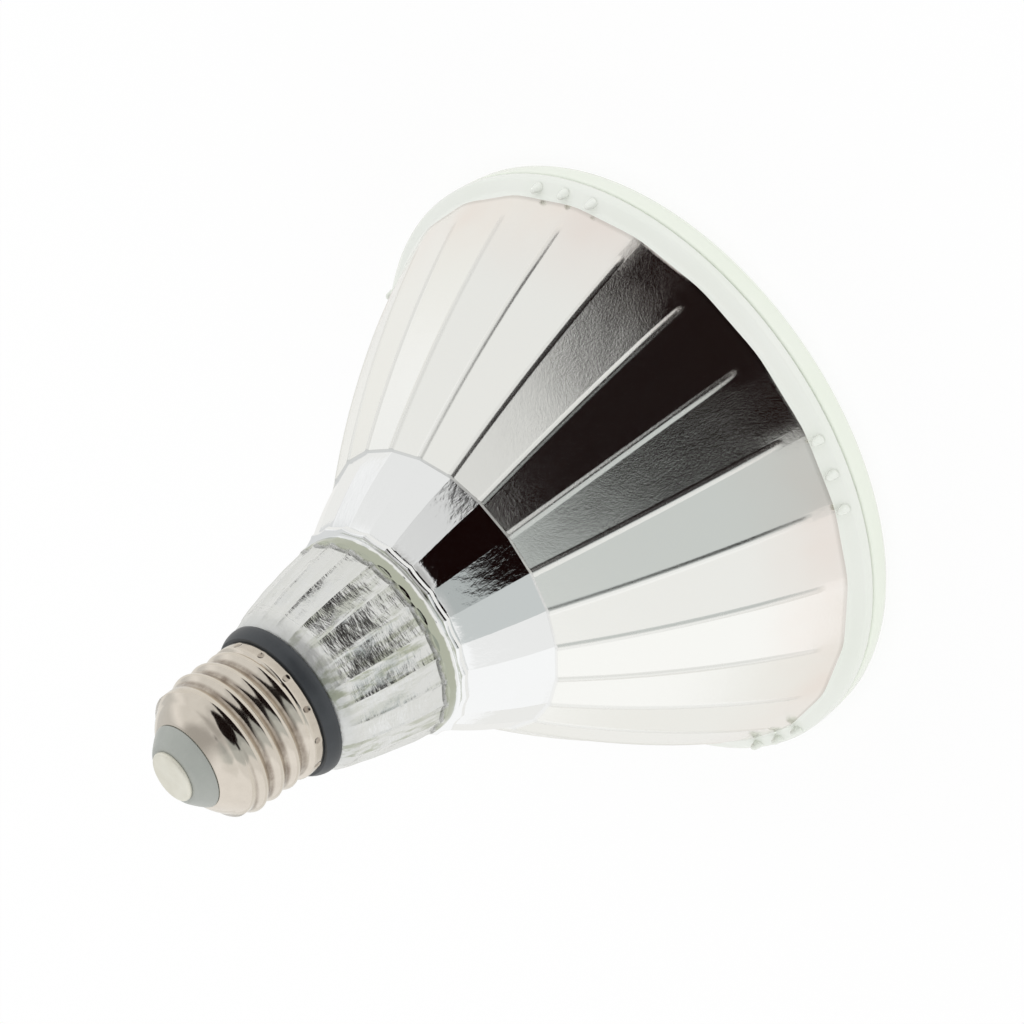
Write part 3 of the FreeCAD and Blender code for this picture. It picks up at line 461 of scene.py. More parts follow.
class SilveredShader:
    """Lays the shader of the silvered glass, zone by zone."""

    def __init__(self, glass: SilveredGlass, graph: Graph) -> None:
        """Mark the zones of the glass, each 1 inside and 0 outside.

        Args:
            glass: the glass's tones and sizes.
            graph: the material's graph.
        """
        self.glass = glass
        self.graph = graph
        x, y, self.z = graph.add("SeparateXYZ", {0: graph.place()}).outputs
        self.cone = graph.mask((self.z, glass.step + 0.1, glass.step - 0.1))
        self.neck = graph.mask((self.z, glass.neck - 0.7, glass.neck + 0.4))
        self.collar = graph.mask((self.z, glass.step - 0.1, glass.step + 0.1),
                                 (self.z, glass.neck + 0.4, glass.neck - 0.7))
        self.sector = graph.fold("MULTIPLY", graph.fold("ARCTAN2", y, x), glass.flutes / (2 * math.pi))
        turn = graph.fold("MULTIPLY", graph.fold("PINGPONG", self.sector, 0.5), 2 * math.pi / glass.flutes)
        away = graph.fold("MULTIPLY", turn, graph.off_axis(x, y))
        crest = graph.mask((away, glass.rib, glass.rib - 0.5),
                           (self.z, glass.rib_start - 1.8, glass.rib_start))
        self.rib = graph.fold("MULTIPLY", crest, self.cone)

    def share(self, zone: Value, part: float) -> Value:
        """Take a part of a zone's mask."""
        return self.graph.fold("MULTIPLY", zone, part)

    def normal(self) -> Value:
        """Give the film's relief as the glass shows it.

        Returns:
            The normal.
        """
        glass, graph, z = self.glass, self.graph, self.z
        ragged = graph.grain(glass.ragged[0], 4.0, 0.6, (1.0, 1.0, 0.45))
        ripple = graph.grain(glass.ripple[0], 3.0, 0.6, (0.5, 0.5, 1.7))
        return graph.relief(
            (graph.grain(glass.stipple[0], 4.0, 0.8), self.share(self.cone, glass.stipple[1])),
            (graph.fold("SUBTRACT", z, glass.step), self.share(self.collar, -glass.film_tilt)),
            (ragged, self.share(self.collar, glass.ragged[1])),
            (graph.grain(glass.swell[0], 1.0), graph.total(glass.swell[1], (self.cone, -glass.swell[2]))),
            (graph.mask((z, glass.neck + 4.0, glass.neck + 15.0)), -glass.bulge[0]),
            (graph.grain(glass.dents[0], 1.0), self.share(self.neck, glass.dents[1])),
            (graph.mask((z, glass.neck + 15.0, glass.neck + 19.0)), glass.bulge[1]),
            (ripple, self.share(self.neck, glass.ripple[1])))

    def colour(self) -> Value:
        """Lay the tones of the zones over each other.

        Returns:
            The colour.
        """
        glass, graph, z = self.glass, self.graph, self.z
        haze = graph.fold("MULTIPLY", graph.grain(14.0, 2.0), graph.mask((z, glass.haze_top, glass.rim)))
        flute = graph.add("Math", {0: self.sector}, operation="FLOOR")
        chance = graph.add("TexWhiteNoise", {"W": flute}, noise_dimensions="1D")
        thick = graph.total(0.1, (graph.mask((chance, 0.3, 0.8)), 0.9))
        streaks = graph.mask((graph.grain(1.7, 3.0, 0.65, (1.0, 1.0, 0.14)), 0.42, 0.64))
        green = graph.fold("MULTIPLY", streaks, thick, self.neck)
        wavy = graph.total(graph.fold("SUBTRACT", z, 0.45), (graph.grain(1.6, 2.0), 0.9))
        band = graph.mask((wavy, glass.band_low, glass.band_low + 0.4),
                          (wavy, glass.neck - 0.1, glass.neck - 0.5))
        # ledge marks the step between cone and collar, where a grey line of painted shade is laid
        ledge = graph.mask((z, glass.step - 0.06, glass.step - 0.03),
                           (z, glass.step + 0.1, glass.step + 0.05))
        edge = graph.fold("MAXIMUM", graph.mask((z, glass.rim + 0.9, glass.rim)), self.share(ledge, 0.3))
        return graph.layers(
            glass.mirror,
            (self.cone, glass.cream),
            (haze, glass.warm),
            (self.share(self.neck, glass.hammered[1]), glass.hammered[0]),
            (green, glass.streak),
            (band, glass.band),
            # the ribs' crests get a painted grey shade line
            (self.share(self.rib, glass.crest[1]), glass.crest[0]),
            (self.share(edge, glass.edge[1]), glass.edge[0]))

    def roughness(self) -> Value:
        """Give the polish of each zone.

        Returns:
            The roughness.
        """
        glass, graph = self.glass, self.graph
        lip = graph.mask((self.z, glass.mouth - 1.6, glass.mouth + 0.6))
        zones = zip((self.cone, self.rib, self.neck, lip), glass.duller)
        uneven = graph.total(glass.speck[0], (self.cone, glass.speck[1]))
        return graph.total(glass.gloss, *zones, (graph.grain(0.9, 2.0), uneven))


@dataclass(frozen=True)
class ClearGlass:
    """Clear pressed borosilicate glass, a little green, with fire-polished skin.

    Attributes:
        name: the material's name.
        tint: colour of light through it.
        pale: its colour where the glass is thinner.
        clear: share of the light that goes straight through; the rest is scattered in its skin.
        wave: height in millimetres of the skin's waviness.
    """

    name: str
    tint: str = "#F4F9EF"
    pale: str = "#FCFEF9"
    clear: float = 0.12
    wave: float = 0.02

    def build(self) -> bpy.types.Material:
        """Make the material.

        Returns:
            The clear glass.
        """
        material, graph = new_material(self.name)
        normal = graph.relief((graph.grain(4.0, 2.0), self.wave), (graph.grain(0.8, 2.0), self.wave / 8))
        rough = graph.total(0.02, (graph.mask((graph.grain(6.0), 0.35, 0.7)), 0.07))
        tint = graph.layers(self.tint, (graph.grain(18.0, 2.0), self.pale))
        graph.finish(Base_Color=tint, Roughness=rough, Normal=normal, Transmission_Weight=self.clear,
                     IOR=1.47)
        return material


@dataclass(frozen=True)
class SilverFilm:
    """Vacuum-coated aluminium film on the inside of the glass, seen through the lens.

    Attributes:
        film: colour of the film.
        thin: its colour where it is thinner.
    """

    film: str = "#EDEEEF"
    thin: str = "#DCDEDF"

    def build(self) -> bpy.types.Material:
        """Make the material.

        Returns:
            The film's material.
        """
        material, graph = new_material("evaporated_aluminium_film")
        normal = graph.relief((graph.grain(5.0, 2.0), 0.05), (graph.grain(0.7, 1.0), 0.004))
        rough = graph.total(0.04, (graph.mask((graph.grain(3.0), 0.3, 0.7)), 0.08))
        colour = graph.layers(self.film, (graph.grain(11.0, 2.0), self.thin))
        graph.finish(Base_Color=colour, Metallic=1.0, Roughness=rough, Normal=normal)
        return material


@dataclass(frozen=True)
class NickelPlate:
    """Rolled brass sheet with bright nickel plate, worn on the crests and dull in the grooves.

    Attributes:
        plate: colour of the plate.
        groove: colour of the film of tarnish low in the thread.
        root: radius low in the thread.
        thread_end: height where the dome begins.
        band: radius of the plain band, whose punch dimples hold tarnish.
        band_top: height where the plain band ends.
    """

    plate: str = "#E2DACE"
    groove: str = "#85776B"
    root: float = 12.1
    thread_end: float = 108.8
    band: float = 13.15
    band_top: float = 95.7

    def build(self) -> bpy.types.Material:
        """Make the material.

        Returns:
            The plated sheet.
        """
        material, graph = new_material("nickel_plated_brass")
        x, y, z = graph.add("SeparateXYZ", {0: graph.place()}).outputs
        radius = graph.off_axis(x, y)
        low = graph.mask((radius, self.root + 0.42, self.root + 0.02),
                         (z, self.thread_end, self.thread_end - 0.8))
        punched = graph.mask((radius, self.band - 0.03, self.band - 0.17),
                             (z, self.band_top, self.band_top - 0.2))
        dull = graph.fold("MULTIPLY", graph.mask((z, self.band_top, self.band_top - 0.5)), 0.3)
        worn = graph.total(0.22, (graph.fold("MAXIMUM", low, dull, punched), 1.1))
        tarnish = graph.fold("MULTIPLY", worn, graph.grain(2.4, 4.0, 0.6))
        colour = graph.layers(self.plate, (tarnish, self.groove))
        drawn = graph.grain(0.5, 3.0, 0.6, (0.25, 0.25, 3.0))
        rough = graph.total(0.05, (tarnish, 0.16), (drawn, 0.10))
        normal = graph.relief((drawn, 0.004), (graph.grain(2.2, 2.0), 0.02))
        graph.finish(Base_Color=colour, Metallic=1.0, Roughness=rough, Normal=normal)
        return material


# Finishes of the other nodes

class Pattern(Enum):
    """How a finish is patterned."""

    MOULDED = "fine grain of a moulded or cast skin"
    TURNED = "fine rings about the lamp's axis"
    WOUND = "turns of wire, one above the other"
    TRACED = "tracks and pads under a solder mask"


@dataclass(frozen=True)
class Finish:
    """A patterned surface finish.

    Attributes:
        name: the material's name, for the real material and how it was worked.
        base: its main colour.
        accent: the colour that it varies to.
        metal: 1 for metal, 0 for all else.
        rough: its roughness where it is smoothest.
        spread: how much rougher it gets.
        grain: size in millimetres of the pattern's detail.
        height: height in millimetres of the pattern's relief.
        pattern: the kind of pattern.
        coat: share of a clear coat.
    """

    name: str
    base: str
    accent: str
    metal: float = 0.0
    rough: float = 0.45
    spread: float = 0.2
    grain: float = 0.5
    height: float = 0.02
    pattern: Pattern = Pattern.MOULDED
    coat: float = 0.0

    def detail(self, graph: Graph) -> Value:
        """Lay the pattern.

        Args:
            graph: the material's graph.
        Returns:
            The pattern, from 0 to 1.
        """
        if self.pattern is Pattern.TURNED:
            x, y, z = graph.add("SeparateXYZ", {0: graph.place()}).outputs
            rings = graph.add("CombineXYZ", {0: graph.off_axis(x, y), 2: z})
            return graph.grain(self.grain, 3.0, 0.6, over=rings)
        if self.pattern is Pattern.WOUND:
            inputs = {"Vector": graph.place(), "Scale": 0.314 / self.grain, "Distortion": 0.4}
            return graph.add("TexWave", inputs, bands_direction="Z").outputs[1]
        if self.pattern is Pattern.TRACED:
            inputs = {"Vector": graph.place(), "Scale": 1 / self.grain}
            return graph.add("TexVoronoi", inputs, distance="CHEBYCHEV")
        return graph.grain(self.grain, 3.0, 0.6)

    def build(self) -> bpy.types.Material:
        """Make the material.

        Returns:
            The finished material.
        """
        material, graph = new_material(self.name)
        detail = self.detail(graph)
        clouds = graph.grain(self.grain * 9, 2.0)
        share = graph.fold("MULTIPLY", graph.mask((clouds, 0.3, 0.7)), 0.5)
        share = graph.add("Math", {0: detail, 1: 0.5, 2: share}, operation="MULTIPLY_ADD", use_clamp=True)
        rough = graph.total(self.rough, (clouds, self.spread))
        graph.finish(Base_Color=graph.layers(self.base, (share, self.accent)), Metallic=self.metal,
                     Roughness=rough, Coat_Weight=self.coat, Normal=graph.relief((detail, self.height)))
        return material


COLLAR_PLASTIC = Finish("glass_filled_pbt_moulded", "#2F3337", "#3B3F43", rough=0.32, spread=0.2,
                        grain=0.35, height=0.012)
INSULATOR = Finish("vitrified_porcelain_grey", "#9B9F99", "#A9ACA6", rough=0.3, spread=0.2, grain=0.6,
                   height=0.012, coat=0.25)
CONTACT = Finish("tinned_brass_contact", "#E6E4D8", "#DAD7C9", metal=0.35, rough=0.3, spread=0.25,
                 grain=0.5, height=0.012)

# What each kind gives the eye: moulded plastic, rubber and epoxy are even with a soft sheen and fine grain,
# spun or plated metal has bright lines and rings, cement is matt and rough, fired alumina and ferrite are
# dull and close-grained, shrunk sleeve and dipped case are glossy over even colour, mask has faint tracks.
NODE_FINISHES: dict[str, Finish] = {
    "base_collar": COLLAR_PLASTIC,
    "lens_seal": Finish("silicone_seam_adhesive", "#D8DDD2", "#C6CCC0", rough=0.35, height=0.03),
    "neck_cement": Finish("ceramic_cap_cement", "#CFC8B6", "#B9B09A", rough=0.75, grain=0.8, height=0.08),
    "heat_spreader": Finish("spun_aluminium", "#C4C6C8", "#AEB1B4", metal=1.0, rough=0.25, grain=0.25,
                            height=0.006, pattern=Pattern.TURNED),
    "thermal_pad": Finish("filled_silicone_pad", "#8E9AA6", "#A2ACB6", rough=0.6, grain=0.4),
    "light_engine_board": Finish("fired_alumina_board", "#EFEFEA", "#DFE0DA", rough=0.4, grain=0.3,
                                 height=0.006),
    "light_engine_phosphor": Finish("phosphor_in_silicone", "#E8C33A", "#D9AC24", rough=0.25, grain=0.25,
                                    height=0.01, coat=0.6),
    "engine_holder": Finish("moulded_holder_plastic", "#E4E5E2", "#D4D6D2", rough=0.42, grain=0.4),
    "holder_screws": Finish("zinc_plated_steel", "#B9BCBE", "#9A9DA0", metal=1.0, rough=0.25, grain=0.3,
                            height=0.008),
    "driver_board": Finish("solder_masked_laminate", "#2F6B45", "#3E8257", rough=0.3, grain=1.6,
                           height=0.03, pattern=Pattern.TRACED, coat=0.4),
    "transformer_core": Finish("sintered_ferrite", "#3B3C3F", "#4A4B4F", rough=0.5, grain=0.25),
    "transformer_winding": Finish("polyester_winding_tape", "#D8B23C", "#C49A22", rough=0.3, grain=0.8,
                                  height=0.04, pattern=Pattern.WOUND),
    "bulk_capacitor": Finish("shrunk_capacitor_sleeve", "#2B3A57", "#36486B", rough=0.25, grain=1.0,
                             height=0.01, coat=0.3),
    "output_capacitor": Finish("shrunk_capacitor_sleeve_dark", "#2A2C31", "#383B42", rough=0.25, grain=1.0,
                               height=0.01, coat=0.3),
    "film_capacitor": Finish("dipped_film_case", "#B5482E", "#9E3A24", rough=0.3, grain=0.8, height=0.02,
                             coat=0.4),
    "choke_core": Finish("sintered_ferrite_drum", "#3D3E42", "#4C4D51", rough=0.5, grain=0.25),
    "choke_winding": Finish("enamelled_copper_turns", "#B4652E", "#8E4A1E", metal=0.8, rough=0.25,
                            grain=0.3, height=0.06, pattern=Pattern.WOUND),
    "bridge_rectifier": Finish("moulded_package_epoxy", "#2B2C2E", "#38393C", rough=0.45, grain=0.3),
    "driver_chip": Finish("moulded_chip_epoxy", "#262729", "#323336", rough=0.5, grain=0.2),
    "chip_resistors": Finish("glazed_chip_resistor", "#2E2F31", "#BFC0BE", rough=0.3, grain=0.5),
    "fusible_resistor": Finish("flameproof_resistor_coat", "#6F8F7A", "#5F7F6B", rough=0.5, grain=0.4),
    "live_lead": Finish("extruded_lead_insulation_brown", "#8A2E22", "#7A261C", rough=0.4, grain=0.6),
    "neutral_lead": Finish("extruded_lead_insulation_blue", "#2B4C86", "#234175", rough=0.4, grain=0.6),
    "engine_leads": Finish("extruded_lead_insulation_red", "#B03A30", "#9C3028", rough=0.4, grain=0.6),
}


# Pieces

@dataclass(frozen=True)
class ReflectorBody:
    """The pressed glass body: clear flange, ribbed cone, collar, bead, band and fluted neck.

    Sizes are in millimetres and follow the CAD model. The flutes' hollows, the scallops and the hammering
    are finer than it.

    Attributes:
        panels: how many flats, ribs and flutes go round.
        flange: outline of the clear flange, from the seam up to the film.
        cone: line of the round cone, which the flats cut back.
        flats: line up the middle of a flat.
        lip: outline of the mouth, which the fire closes.
        bead: largest radius of the bead.
        scallop: depth of its scallops, which deepen over the radii of scalloped.
        flute_start: height of a flute's foot in its middle; flute_arch higher at its sides.
        arch_power: how square the foot's arch is.
        flute_hollow: depth of a flute in its middle.
        hammer: depth of the uneven dents, which are about hammer_size wide.
        rib: half width of a rib.
        rib_run_out: length over which the ribs rise to rib_start.
        spreader_ledge: outline of the ledge that the heat spreader sits on.
        bowl: inner line of the cone; throat is that of the collar and bore that of the neck.
        inner_rim: outline of the clear edge inside the flange.
        nub: outline of a nub; three stand side by side, nub_spacing degrees apart.
        edge_columns: how far off a rib's crest the mesh has its columns.
        inner_columns: how many more lead to the middle of the flat; they count as no_rib off the rib.
    """

    panels: int = 24
    flange: Outline = (
        (56.35, 4.7), (58.2, 4.7), (60.15, 4.7), (60.42, 4.8), (60.5, 5.05), (60.5, 5.7), (60.5, 6.25),
        (60.38, 6.52), (60.05, 6.74), (59.2, 7.18), (58.45, 7.6), (58.12, 7.76), (57.92, 7.92),
        (57.78, 8.12))
    cone: Bow = Bow((57.9, 7.9), (29.4, 52.4), 230.0)
    flats: Bow = Bow((56.6, 9.9), (28.65, 52.4), 230.0)
    collar: Bow = Bow((28.1, 52.4), (20.4, 66.4), 80.0)
    neck: Bow = Bow((19.31, 71.0), (15.34, 88.4), 90.0)
    lip: Outline = ((15.02, 89.3), (14.62, 90.1), (14.2, 90.6), (13.8, 90.86), (13.2, 90.9))
    bead: float = 21.15
    scallop: float = 0.42
    scalloped: tuple[float, float] = (19.9, 20.9)
    bead_low: float = 66.4
    bead_high: float = 67.8
    band: float = 19.8
    flute_start: float = 70.2
    flute_arch: float = 1.0
    arch_power: float = 2.6
    flute_hollow: float = 0.22
    hammer: float = 0.11
    hammer_size: float = 2.2
    rib: float = 0.9
    rib_height: float = 0.19
    rib_start: float = 13.6
    rib_run_out: float = 1.8
    silver_start: float = 8.35
    inner_lip: Outline = ((12.5, 90.8), (12.4, 90.4), (12.4, 89.65))
    spreader_ledge: Outline = ((17.36, 64.3), (17.5, 64.02), (19.5, 64.0))
    bowl: Bow = Bow((56.0, 6.7), (26.25, 52.4), 230.0)
    throat: Bow = Bow((26.25, 52.4), (19.66, 64.0), 80.0)
    bore: Bow = Bow((17.2, 71.0), (13.2, 87.15), 90.0)
    inner_rim: Outline = ((56.0, 6.7), (56.0, 6.3), (56.0, 5.0))
    nub_reach: float = 59.2
    nub_foot: float = 7.3
    nub: Outline = ((0.0, -0.25), (0.9, -0.25), (0.9, 0.1), (0.84, 0.5), (0.72, 1.1), (0.6, 1.55),
                    (0.42, 1.8), (0.2, 1.9), (0.0, 1.9))
    nub_columns: int = 14
    nub_phase: float = 30.0
    nub_spacing: float = 6.5
    nub_groups: int = 5
    edge_columns: tuple[float, ...] = (0.0, 0.13, 0.27, 0.41, 0.55, 0.7, 0.82, 0.9, 1.04)
    inner_columns: int = 3
    no_rib: float = 9.0

    def ring(self, usual: float, height: float,
             radius: Optional[Callable[[float, float], float]] = None) -> list[Point]:
        """Make a ring of the body.

        Args:
            usual: about the radius here, which sets the columns.
            height: its height.
            radius: gives the radius from the angle off the panel's middle and the offset off the rib; a
                plain circle when left out.
        Returns:
            The ring's points.
        """
        side = 180 / self.panels
        half = [(side - math.degrees(math.asin(offset / usual)), offset) for offset in self.edge_columns]
        last = half[-1][0]
        half += [(last * (1 - place / self.inner_columns), self.no_rib)
                 for place in range(1, self.inner_columns + 1)]
        sides = [(-angle, offset) for angle, offset in half] + half[-2:0:-1]
        points = []
        for panel in range(self.panels):
            middle = (panel + 0.5) * 360 / self.panels
            for angle, offset in sides:
                reach = radius(angle, offset) if radius else usual
                turn = math.radians(middle + angle)
                points.append((reach * math.cos(turn), reach * math.sin(turn), height))
        return points

    def cone_ring(self, height: float) -> list[Point]:
        """Make a ring of the ribbed cone.

        Args:
            height: its height.
        Returns:
            The ring's points.
        """
        cone = self.cone.radius_at(height)
        flat = self.flats.radius_at(height) if height > self.flats.start[1] - 3 else cone
        swell = ease(self.rib_start - self.rib_run_out, self.rib_start + 0.4, height)

        def radius(angle: float, offset: float) -> float:
            panel = min(cone, flat / math.cos(math.radians(angle)))
            if offset >= self.rib or swell == 0:
                return panel
            return panel + self.rib_height * swell * 0.5 * (1 + math.cos(math.pi * offset / self.rib))

        return self.ring(cone, height, radius)

    def collar_ring(self, height: float) -> list[Point]:
        """Make a ring of the collar, whose flats meet in corners."""
        flat = self.collar.radius_at(height)
        return self.ring(flat, height, lambda angle, _: flat / math.cos(math.radians(angle)))

    def bead_ring(self, reach: float, height: float) -> list[Point]:
        """Make a ring of the bead, scalloped by the flutes below it.

        Args:
            reach: its radius between crest and hollow of a scallop.
            height: its height.
        Returns:
            The ring's points.
        """
        side = 180 / self.panels
        deep = self.scallop * ease(*self.scalloped, reach)
        return self.hammered(self.ring(
            reach, height, lambda angle, _: min(self.bead, reach + deep * ((angle / side) ** 2 - 0.6))))

    def flute_ring(self, height: float) -> list[Point]:
        """Make a ring of the hollow flutes, which run out into the band in round arches.

        Args:
            height: its height.
        Returns:
            The ring's points.
        """
        flat = self.neck.radius_at(height)
        side = 180 / self.panels
        shallow = ease(self.neck.end[1] + 0.4, self.neck.end[1] - 3.0, height)

        def radius(angle: float, _: float) -> float:
            across = abs(angle) / side
            arch = self.flute_start - 0.3 + self.flute_arch * across ** self.arch_power
            cut = ease(arch, arch + 1.0, height)
            hollow = self.flute_hollow * shallow * (1 - across * across) - 0.1 * ease(0.8, 1.0, across)
            panel = flat / math.cos(math.radians(angle)) - hollow
            return self.band + (panel - self.band) * cut

        return self.hammered(self.ring(flat, height, radius))

    def hammered(self, points: list[Point]) -> list[Point]:
        """Press the mould's uneven dents into a ring.

        Args:
            points: the ring's points.
        Returns:
            The points, moved in or out a little.
        """
        moved = []
        for x, y, z in points:
            dent = self.hammer * noise.noise(Vector((x, y, z * 0.6)) / self.hammer_size)
            share = 1 + dent / math.hypot(x, y)
            moved.append((x * share, y * share, z))
        return moved

    def outside(self) -> list[tuple[list[Point], int]]:
        """Stack the outside from the seam to the mouth.

        Returns:
            Each ring with the material number of the faces above it.
        """
        glass, silver = 0, 1
        rings = [(self.ring(*point), glass) for point in self.flange]
        low = [self.silver_start, 8.8, 9.3, 9.9, 10.6, 11.3, 11.75]
        fine = steps(11.8, 13.1, 11)
        heights = low + fine + [13.3, 13.7, 14.4] + steps(16.0, 50.0, 18) + [51.6, 52.2, 52.36]
        rings += [(self.cone_ring(z), silver) for z in heights]
        rings += [(self.collar_ring(z), silver) for z in [52.46, 52.7] + steps(53.6, 65.8, 12)]
        low_bead, high_bead = self.bead_low, self.bead_high
        bead = [(20.45, low_bead - 0.12), (20.62, low_bead + 0.02), (20.86, low_bead + 0.12),
                (20.98, low_bead + 0.36), (20.98, high_bead - 0.42), (20.86, high_bead - 0.18),
                (20.6, high_bead - 0.05), (20.2, high_bead)]
        rings += [(self.bead_ring(*point), silver) for point in bead]
        band = [(19.92, high_bead + 0.03), (19.72, high_bead + 0.2), (19.7, high_bead + 0.55),
                (self.band, 68.7)]
        rings += [(self.hammered(self.ring(*point)), silver) for point in band]
        heights = [69.4] + steps(69.8, 72.2, 13) + [72.9] + steps(73.6, 88.4, 22)
        rings += [(self.flute_ring(z), silver) for z in heights]
        return rings + [(self.ring(*point), silver) for point in self.lip]

    def inside(self) -> list[tuple[list[Point], int]]:
        """Stack the inside from the mouth back to the seam.

        Returns:
            Each ring with the material number of the faces above it.
        """
        glass, film = 0, 2
        outline = [*self.inner_lip, *self.bore.outline(7)[::-1], *self.spreader_ledge,
                   *self.throat.outline(6)[::-1], *self.bowl.outline(22)[-2:0:-1]]
        rings = [(self.ring(*point), film) for point in outline]
        return rings + [(self.ring(*point), glass) for point in self.inner_rim]

    def nubs(self, skin: Skin) -> None:
        """Add the small moulded nubs on the flange's shoulder.

        Args:
            skin: the body's skin.
        """
        rings = turned(self.nub, self.nub_columns)
        for group in range(self.nub_groups):
            for place in (-1, 0, 1):
                turn = self.nub_phase + place * self.nub_spacing + group * 360 / self.nub_groups
                along = self.nub_reach * math.cos(math.radians(turn))
                back = self.nub_reach * math.sin(math.radians(turn))
                moved = [[(x + along, y + back, z + self.nub_foot) for x, y, z in ring] for ring in rings]
                skin.stack(moved, closed=False)

    def build(self) -> None:
        """Make the glass body."""
        skin = Skin("reflector_body")
        rings = self.outside() + self.inside()
        finishes = [finish for _, finish in rings]
        skin.stack([ring for ring, _ in rings], finish=lambda place: finishes[place])
        self.nubs(skin)
        glass = ClearGlass("pressed_flange_glass").build()
        piece = skin.build([glass, SilveredGlass().build(), SilverFilm().build()], crease=40.0)
        show(piece, "reflector_glass")


@dataclass(frozen=True)
class LensDisc:
    """The pressed front lens with its rim and the spreading dimples on its inner face."""

    columns: int = 240
    rim: Outline = (
        (54.0, 0.9), (54.25, 0.55), (54.7, 0.12), (55.1, 0.0), (57.0, 0.0), (58.9, 0.0), (59.55, 0.14),
        (60.02, 0.5), (60.22, 1.0), (60.34, 2.2), (60.44, 3.6), (60.46, 4.15), (60.3, 4.36), (59.9, 4.4),
        (57.4, 4.4), (55.4, 4.4), (55.1, 4.3), (55.0, 4.1))
    dome: float = 1.6
    recess: float = 0.9
    thick: float = 3.0
    window: float = 54.0
    dimple_pitch: float = 5.2
    dimple_depth: float = 0.45

    def face(self, radius: float) -> float:
        """Give the height of the outer face at a radius."""
        return self.recess + self.dome * (1 - (radius / self.window) ** 2)

    def dimple(self, x: float, y: float) -> float:
        """Give the depth of the dimples, set in a honeycomb.

        Args:
            x: place on the face.
            y: place on the face.
        Returns:
            How far the face is pressed in there.
        """
        row = self.dimple_pitch * math.sqrt(3) / 2
        best = self.dimple_pitch
        near = round(y / row)
        for line in (near - 1, near, near + 1):
            shift = self.dimple_pitch / 2 if line % 2 else 0.0
            column = round((x - shift) / self.dimple_pitch) * self.dimple_pitch + shift
            best = min(best, math.hypot(x - column, y - line * row))
        return self.dimple_depth * (best / self.dimple_pitch * 2) ** 2 / 1.33

    def build(self) -> None:
        """Make the lens."""
        skin = Skin("lens_disc")
        outer = [(r, self.face(r)) for r in (10.0, 22.0, 34.0, 44.0, 50.0)]
        rings = turned([(0.0, self.face(0)), *outer, *self.rim], self.columns)
        for radius in steps(54.6, 1.2, 78):
            flat = around(radius, 0.0, self.columns)
            fade = ease(54.8, 52.5, radius)
            level = self.face(radius) + self.thick
            rings.append([(x, y, level - fade * self.dimple(x, y)) for x, y, _ in flat])
        rings.append(around(0, self.face(0) + self.thick, 1))
        skin.stack(rings, closed=False)
        glass = ClearGlass("pressed_lens_glass", "#F7FEEF", "#FBFFF6").build()
        show(skin.build([glass], crease=50.0), "front_lens")


@dataclass(frozen=True)
class CapShell:
    """The rolled screw shell: plain band with punch dimples, knuckle thread and domed end."""

    columns: int = 300
    foot: float = 93.6
    band: float = 13.15
    band_top: float = 95.7
    root: float = 12.1
    root_start: float = 96.75
    dome_start: float = 108.3
    dome: Bow = Bow((12.1, 108.3), (8.1, 112.9), 9.0)
    depth: float = 0.95
    pitch: float = 3.629
    thread_foot: float = 95.4
    thread_phase: float = 160.0
    turns: float = 3.6
    fade: float = 0.3
    sheet: float = 0.4
    curl: Outline = ((8.2, 112.85), (8.0, 112.9), (7.8, 112.8), (7.78, 112.5))
    punches: int = 13
    punch_phase: float = 2.8
    punch_height: float = 94.85
    punch_radius: float = 0.95
    punch_depth: float = 0.24

    def body(self, height: float) -> float:
        """Give the shell's radius without its thread.

        Args:
            height: the height asked for.
        Returns:
            The radius.
        """
        if height >= self.dome_start:
            return self.dome.radius_at(min(height, self.dome.end[1]))
        fall = ease(self.band_top, self.root_start, height)
        return self.band + (self.root - self.band) * fall

    def thread(self, turn: float, height: float) -> float:
        """Give the radius of the knuckle thread.

        Args:
            turn: azimuth in degrees.
            height: the height asked for.
        Returns:
            The radius, which is the root's away from the thread.
        """
        part = ((turn - self.thread_phase) % 360) / 360
        along = (height - self.thread_foot) / self.pitch - part
        crest = round(along)
        wound = part + crest
        swell = ease(0, self.fade, wound) * ease(self.turns, self.turns - self.fade, wound)
        return self.root + self.depth * swell * 0.5 * (1 + math.cos(2 * math.pi * (along - crest)))

    def punch(self, turn: float, height: float) -> float:
        """Give the depth of the punch dimples.

        Args:
            turn: azimuth in degrees.
            height: the height asked for.
        Returns:
            How far the sheet is pressed in.
        """
        spacing = 360 / self.punches
        off = (turn - self.punch_phase + spacing / 2) % spacing - spacing / 2
        away = math.hypot(math.radians(off) * self.band, height - self.punch_height)
        return self.punch_depth * ease(self.punch_radius, self.punch_radius * 0.25, away)

    def ring(self, height: float, inset: float = 0.0) -> list[Point]:
        """Make a ring of the shell.

        Args:
            height: its height.
            inset: how far inside the outer face it lies.
        Returns:
            The ring's points.
        """
        points = []
        for column in range(self.columns):
            turn = 360 * column / self.columns
            radius = self.body(height)
            if height < self.dome_start + 1.5:
                radius = max(radius, self.thread(turn, height))
            radius -= self.punch(turn, height) + inset
            angle = math.radians(turn)
            points.append((radius * math.cos(angle), radius * math.sin(angle), height))
        return points

    def build(self) -> None:
        """Make the shell."""
        skin = Skin("cap_shell")
        edge = [(self.band - 0.3, self.foot), (self.band - 0.08, self.foot + 0.05)]
        heights = [self.foot + 0.2] + steps(94.1, 96.6, 16) + steps(96.8, 108.2, 52)
        heights += [108.3, 108.9, 109.5, 110.1, 110.7, 111.3, 111.8, 112.3, 112.65]
        rings = turned(edge, self.columns) + [self.ring(z) for z in heights]
        rings += turned(self.curl, self.columns)
        back = [112.0, 111.2, 110.3, 109.3, 108.3] + steps(107.8, 96.8, 34) + [96.2, 95.7, 95.0, 94.3, 93.8]
        rings += [self.ring(z, self.sheet) for z in back]
        rings.append(around(self.band - self.sheet, self.foot + 0.02, self.columns))
        skin.stack(rings)
        show(skin.build([NickelPlate().build()], crease=60.0), "screw_shell")


